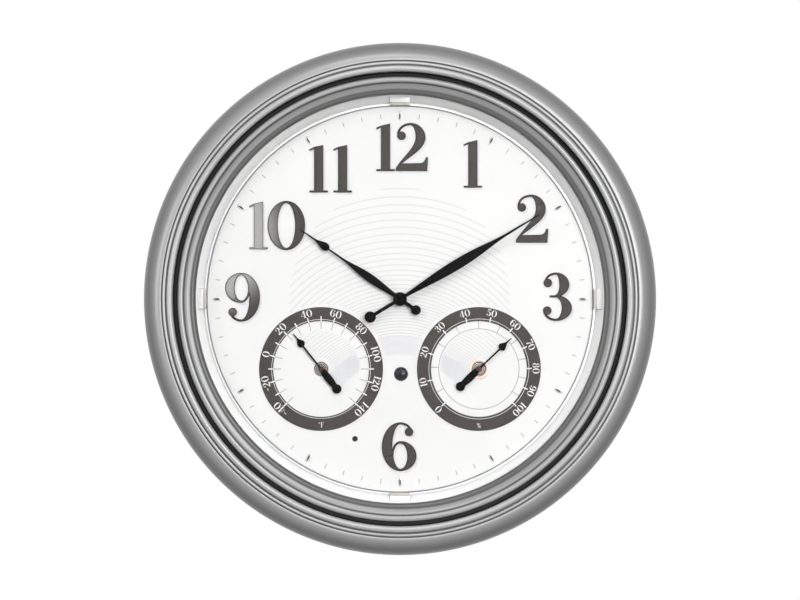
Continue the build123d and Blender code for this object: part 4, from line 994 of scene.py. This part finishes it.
def figures_mesh(labels, depth):
    """Flat figures in a ring: each label is a text, its turn from the top, radius, height and middle."""
    verts, faces = [], []
    for label, turn_deg, label_r, height, middle in labels:
        total = sum(glyph_widths[letter] for letter in label) + glyph_gap * (len(label) - 1)
        turn = radians(turn_deg)
        start = -total / 2
        for letter in label:
            for shape in glyph_shapes[letter]:
                for corners in glyph_faces(shape):
                    first = len(verts)
                    for x, z in corners:
                        up = label_r + (z - 0.5) * height
                        place_x, place_z = spot((start + x) * height, up, turn, middle)
                        verts.append((place_x * MM, -depth * MM, place_z * MM))
                    faces.append(range(first, len(verts)))
            start += glyph_widths[letter] + glyph_gap
    mesh = bpy.data.meshes.new("figures")
    mesh.from_pydata(verts, [], faces)
    work = bmesh.new()
    work.from_mesh(mesh)
    for face in work.faces:
        face.normal_update()
        if face.normal.y > 0:
            face.normal_flip()
    work.to_mesh(mesh)
    work.free()
    return mesh


def circle_run(radius, middle):
    """A whole circle round the middle of a gauge."""
    steps = 120
    return [spot(0, radius, 2 * pi * at / steps, middle) for at in range(steps + 1)]


def tick_run(turn_deg, low_r, high_r, middle):
    """A short line towards the middle of a gauge, its turn counted from the top."""
    return [spot(0, r, radians(turn_deg), middle) for r in (low_r, high_r)]


def heat_turn(value):
    """Turn from the top of the thermometer's scale: 50 is at the top, and a degree takes 1.5."""
    return (value - 50) * 1.5


def damp_turn(value):
    """Turn from the top of the hygrometer's scale: 0 is at -135, and the steps close up after it."""
    return -135 + 3.224 * value - 0.00524 * value * value


heat_middle, damp_middle = gauge_middles["thermometer"], gauge_middles["hygrometer"]
ring_section = [(ring_in_r, dial_d), (ring_in_r, ring_d), (ring_out_r, ring_d), (ring_out_r, dial_d)]
for gauge, middle in gauge_middles.items():
    scale_ring = turned(gauge + "_scale_ring", ring_section, gunmetal, middle, gauge_ring_steps)
    fitted(scale_ring, "gunmetal", gauge + "_scale")
    edge_runs = [circle_run(ring_in_r + edge_w / 2, middle), circle_run(ring_out_r - edge_w / 2, middle)]
    fitted(printed(gauge + "_edge_print", edge_runs, edge_w, dark_paint_and_edge_shade, 1, ring_d), "gunmetal")

white_ink = ink_finish("white_ink", "#F4F4F2")
heat_values, damp_values = range(-40, 141, 10), range(0, 101, 10)
heat_figure_r, heat_figure_h, heat_unit_r, heat_unit_h = 50.9, 6.5, 49.9, 4.6
damp_figure_r, damp_figure_h, damp_unit_r, damp_unit_h = 51.1, 6.1, 50.5, 4.4
labels = [
    ("%d" % value, heat_turn(value), heat_figure_r, heat_figure_h, heat_middle) for value in heat_values[::2]
]
labels += [
    ("%d" % value, damp_turn(value), damp_figure_r, damp_figure_h, damp_middle) for value in damp_values
]
figures = flat_piece("scale_figures_print", figures_mesh(labels, ring_d + 2 * ink_t), white_ink)
fitted(figures, "white_plastic")
unit_labels = [
    ("dF", 0, -heat_unit_r, heat_unit_h, heat_middle), ("%", 0, -damp_unit_r, damp_unit_h, damp_middle)
]
units = flat_piece("scale_units_print", figures_mesh(unit_labels, ring_d + 2 * ink_t), white_ink)
fitted(units, "white_plastic")

heat_circle_r, damp_circle_r, white_circle_w = 44.2, 44.7, 0.4
white_runs = [circle_run(heat_circle_r, heat_middle), circle_run(damp_circle_r, damp_middle)]
fitted(printed("scale_circles_print", white_runs, white_circle_w, white_ink, 2, ring_d), "white_plastic")
white_tick_r, white_tick_w = 47.2, 1.1
tick_tops = [tick_run(heat_turn(value), ring_in_r, white_tick_r, heat_middle) for value in heat_values]
tick_tops += [tick_run(damp_turn(value), ring_in_r, white_tick_r, damp_middle) for value in damp_values]
fitted(printed("white_ticks_print", tick_tops, white_tick_w, white_ink, 3, ring_d), "white_plastic")
heat_tick_r, damp_tick_r, grey_tick_w = 35.6, 35.9, 0.65
damp_fives = range(5, 100, 10)
grey_runs = [tick_run(heat_turn(value), heat_tick_r, ring_in_r, heat_middle) for value in heat_values]
grey_runs += [tick_run(damp_turn(value), damp_tick_r, ring_in_r, damp_middle) for value in damp_fives]
grey_runs += [circle_run(damp_tick_r, damp_middle)]
fitted(printed("grey_ticks_print", grey_runs, grey_tick_w, grey_ink), "silver_trim")

# In the middle of each gauge, half of a smaller fan, turned outwards by about an eighth of a turn. Its
# lines close up to a pale band too.
small_fan_r, small_arc_r, small_hub_r = 34.6, 85.0, 9.6
small_margin, small_pitch, small_pitch_drop, small_last_pitch = 1.5, 3.7, 0.15, 1.5
small_low, small_block_low, small_block_pitch = -8.0, -24.2, 0.6
small_line_w, small_turn_deg = 0.75, 48


def small_fan_arc(top, side, middle):
    """One arc of a half fan: side is 1 for the right half and -1 for the left, before it is turned."""
    turn = radians(-side * small_turn_deg)
    steps = 60
    run = []
    for step in range(steps + 1):
        a = asin(small_fan_r / small_arc_r) * step / steps
        up = top - small_arc_r * (1 - cos(a))
        run.append(spot(side * small_arc_r * sin(a), up, turn, middle))
    return clipped(run, lambda p: inside(p, middle, small_fan_r) and not inside(p, middle, small_hub_r))


small_runs, small_blocks = [], []
for middle, side in ((heat_middle, 1), (damp_middle, -1)):
    top, pitch = small_fan_r - small_margin, small_pitch
    while top > small_low:
        small_runs += small_fan_arc(top, side, middle)
        top -= pitch
        pitch = max(small_last_pitch, pitch - small_pitch_drop)
    while top > small_block_low:
        small_blocks += small_fan_arc(top, side, middle)
        top -= small_block_pitch
fitted(printed("small_fans_print", small_runs, small_line_w, silver_ink, 2), "silver_trim")
fitted(printed("small_bands_print", small_blocks, small_block_pitch + line_overlap, pale_ink), "silver_trim")


# Hygrometer eyelet: a pressed copper ring round the hole of the hygrometer, rolled over on the dial. Bare
# and plated metals show a fine grain in their polish.
gloss_spread = 0.06


def metal_finish(name, hex_colour, roughness, spread=1.5):
    """Bare or plated metal: its grain, of a spread in millimetres, shows in its colour and its gloss."""
    gloss = (roughness - gloss_spread, roughness + gloss_spread)
    look = {"Metallic": 1.0, "Roughness": roughness}
    return grained_finish(name, spread, 3, hex_colour, (0.9, 1.08), gloss=gloss, **look)


copper = metal_finish("pink_copper", "#DFBCB1", 0.35)
eyelet_r, eyelet_half_w, eyelet_h = 7.9, 1.3, 0.4
small_ring_steps = 96
eyelet_section = bend((eyelet_r, dial_d), (eyelet_half_w, eyelet_h), 180, 0, 10)
eyelet = turned("pressed_copper_eyelet", eyelet_section, copper, damp_middle, small_ring_steps)
fitted(eyelet, "copper", "hygrometer_eyelet")

# Coils and shafts of the gauges: wound bright bimetal strip and browned steel. Zinc plated steel makes
# the screws, the hinge pins, the hanger, the contacts and the arbor of the minute hand.
dress(metal_finish("bright_bimetal_strip", "#DDD6CE", 0.2), "thermometer_coil", "hygrometer_coil")
steel = metal_finish("zinc_plated_steel", "#B7B9BB", 0.3, 4)
dress(steel, "gauge_screws", "bezel_screws", "case_screws", "hinge_pins", "hanger_plate", "hanger_rivets")
dress(steel, "minute_arbor", "battery_contacts")
browned = metal_finish("browned_steel", "#4A3631", 0.45)
dress(browned, "thermometer_shaft", "hygrometer_shaft")


# Hands, pointers and the nut: stamped aluminium in matt black paint, which has a fine powdery grain. The
# stamped edges are slightly rounded.
matt_black = grained_finish(
    "matt_black_paint",
    0.5,
    2,
    tones=("#060606", "#0D0D0D"),
    relief=(0.15, 0.03),
    Roughness=0.6,
    Specular_IOR_Level=0.06,
)
dress(matt_black, "hand_nut")
hand_edge = 0.16
for node_name, body in (
    ("hour_hand", "hour"),
    ("minute_hand", "minute"),
    ("thermometer_pointer", "thermometer_needle"),
    ("hygrometer_pointer", "hygrometer_needle"),
):
    hand_work = cad_work(node_name)
    merge_flat(hand_work)
    hand_mesh = finished(hand_work, node_name)
    soften(hand_mesh, hand_edge * MM)
    hand_mesh.materials.append(matt_black)
    fitted(add_object("rounded_" + node_name, hand_mesh), "hand_black", node_name, body=body)

# A low domed boss in browned steel presses each pointer on its shaft.
boss_r, boss_h = 2.2, 0.5
for gauge, middle in gauge_middles.items():
    boss_d = -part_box(gauge + "_pointer")[0][1] / MM
    boss_mesh = dome_mesh("pointer_boss", boss_r, boss_r, 0, boss_d, boss_d + boss_h)
    boss = ringed(gauge + "_pointer_boss", boss_mesh, 1, browned, middle=middle)
    fitted(boss, "hand_black", body=gauge + "_needle")


# Plastics of the movement, the gauges, the battery room and the back: black ABS with the fine leather of
# a spark eroded mould, and natural white acetal for the wheels, the knob and the slider. The nut that
# holds the movement is brass.
def textured_black_finish():
    """Black ABS: the leather is its relief, and slow wear runs its colour and its gloss."""
    material, tree, shader = new_finish("textured_black_abs")
    place = add_node(tree, "ShaderNodeTexCoord").outputs["Object"]
    leather = add_node(tree, "ShaderNodeTexVoronoi", {"Vector": place, "Scale": 1 / (0.9 * MM)})
    wear = add_node(tree, "ShaderNodeTexNoise", {"Vector": place, "Scale": 1 / (30 * MM), "Detail": 5})
    show_grain(tree, shader, wear, ("#1B1B1D", "#2C2C2E"), gloss=(0.42, 0.6))
    show_grain(tree, shader, leather.outputs["Distance"], relief=(0.3, 0.05))
    return material


black_abs = textured_black_finish()
dress(black_abs, "rear_cover", "access_door", "movement_case", "movement_cover", "quartz_motor")
dress(black_abs, "thermometer_housing", "hygrometer_housing", "switch_body")
acetal = grained_finish(
    "natural_acetal", 5, 2, tones=("#DDD9CE", "#E9E6DC"), Roughness=0.36, IOR=1.48, Subsurface_Weight=0.1
)
dress(acetal, "hour_wheel", "minute_wheel", "setting_knob", "switch_slider")
dress(metal_finish("turned_brass", "#CDA960", 0.28), "mounting_nut")


# Cells: plain AA cells of no make, black film with a copper band at the end that has the nub. The rows
# lie by turns one way and the other.
def cell_finish():
    """Printed film with bare steel at both ends."""
    material, tree, shader = new_finish("printed_cell_film", Roughness=0.32)
    place = add_node(tree, "ShaderNodeTexCoord")
    split = add_node(tree, "ShaderNodeSeparateXYZ", {0: place.outputs["Object"]})
    row_top_z, row_pitch, row_count = -30.9, 14.5, 4
    tones = ((-25.2, "#B9BABC"), (-24.6, "#1C1D20"), (10.1, "#B87850"), (22.9, "#C3C4C6"))
    along = add_node(
        tree,
        "ShaderNodeMapRange",
        {
            "Value": split.outputs["Z"],
            "From Min": row_top_z * MM,
            "From Max": (row_top_z - row_pitch * row_count) * MM,
            "To Max": row_count,
        },
    )
    row = add_node(tree, "ShaderNodeMath", {0: along}, operation="FLOOR")
    odd = add_node(tree, "ShaderNodeMath", {0: row, 1: 2}, operation="MODULO")
    lone = add_node(
        tree, "ShaderNodeMath", {0: split.outputs["Z"], 1: row_top_z * MM}, operation="GREATER_THAN"
    )
    either = add_node(tree, "ShaderNodeMath", {0: odd, 1: lone}, operation="MAXIMUM")
    way = add_node(tree, "ShaderNodeMapRange", {"Value": either, "To Min": -1, "To Max": 1})
    reach = add_node(tree, "ShaderNodeMath", {0: split.outputs["X"], 1: way}, operation="MULTIPLY")
    ramp = tone_ramp(tree, reach.outputs[0], tones)
    ramp.color_ramp.interpolation = "CONSTANT"
    tree.links.new(ramp.outputs["Color"], shader.inputs["Base Color"])
    metal = add_node(tree, "ShaderNodeMath", {0: reach, 1: tones[2][0] * MM}, operation="GREATER_THAN")
    tree.links.new(metal.outputs[0], shader.inputs["Metallic"])
    return material


dress(cell_finish(), "light_cells", "movement_cell")


# Wiring, circuit board and light sensors: white silicone sleeve, a board under green solder mask, and
# polished smoked glass, in a steel rim at the sensor's window; the rim's bright ring is a painted reflection
# round the edge of the lens.
def board_finish():
    """Green solder mask, darker and paler over the tracks below it."""
    material, tree, shader = new_finish("green_circuit_board", Roughness=0.35)
    place = add_node(tree, "ShaderNodeTexCoord").outputs["Object"]
    track = add_node(
        tree, "ShaderNodeTexVoronoi", {"Vector": place, "Scale": 1 / (3 * MM)}, distance="MANHATTAN"
    )
    show_grain(tree, shader, track.outputs["Distance"], ("#1D6A3F", "#0F4427"))
    return material


dress(board_finish(), "light_board")
sleeve = grained_finish(
    "white_silicone_sleeve", 4, 1, relief=(0.2, 0.2), Base_Color=linear("#DEDCD6"), Roughness=0.55
)
dress(sleeve, "led_wiring")
smoked_tones = ("#17181B", "#2B2C30")
smoked_glass = grained_finish("smoked_sensor_glass", 3, 1, tones=smoked_tones, Roughness=0.06, IOR=1.4)
dress(smoked_glass, "sensor_lens", "photocell")
lens_middle = middle_of("sensor_lens")
lens_r = lens_middle[0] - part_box("sensor_lens")[0][0] / MM
rim_out_of_lens, rim_half_w, rim_h = 0.15, 0.35, 0.4
# A thin bright steel ring round the lens: a painted reflection of the lens's edge.
rim_section = bend((lens_r + rim_out_of_lens, dial_d), (rim_half_w, rim_h), 180, 0, 10)
fitted(turned("sensor_rim_painted_reflection", rim_section, steel, lens_middle, small_ring_steps), "silver_trim")
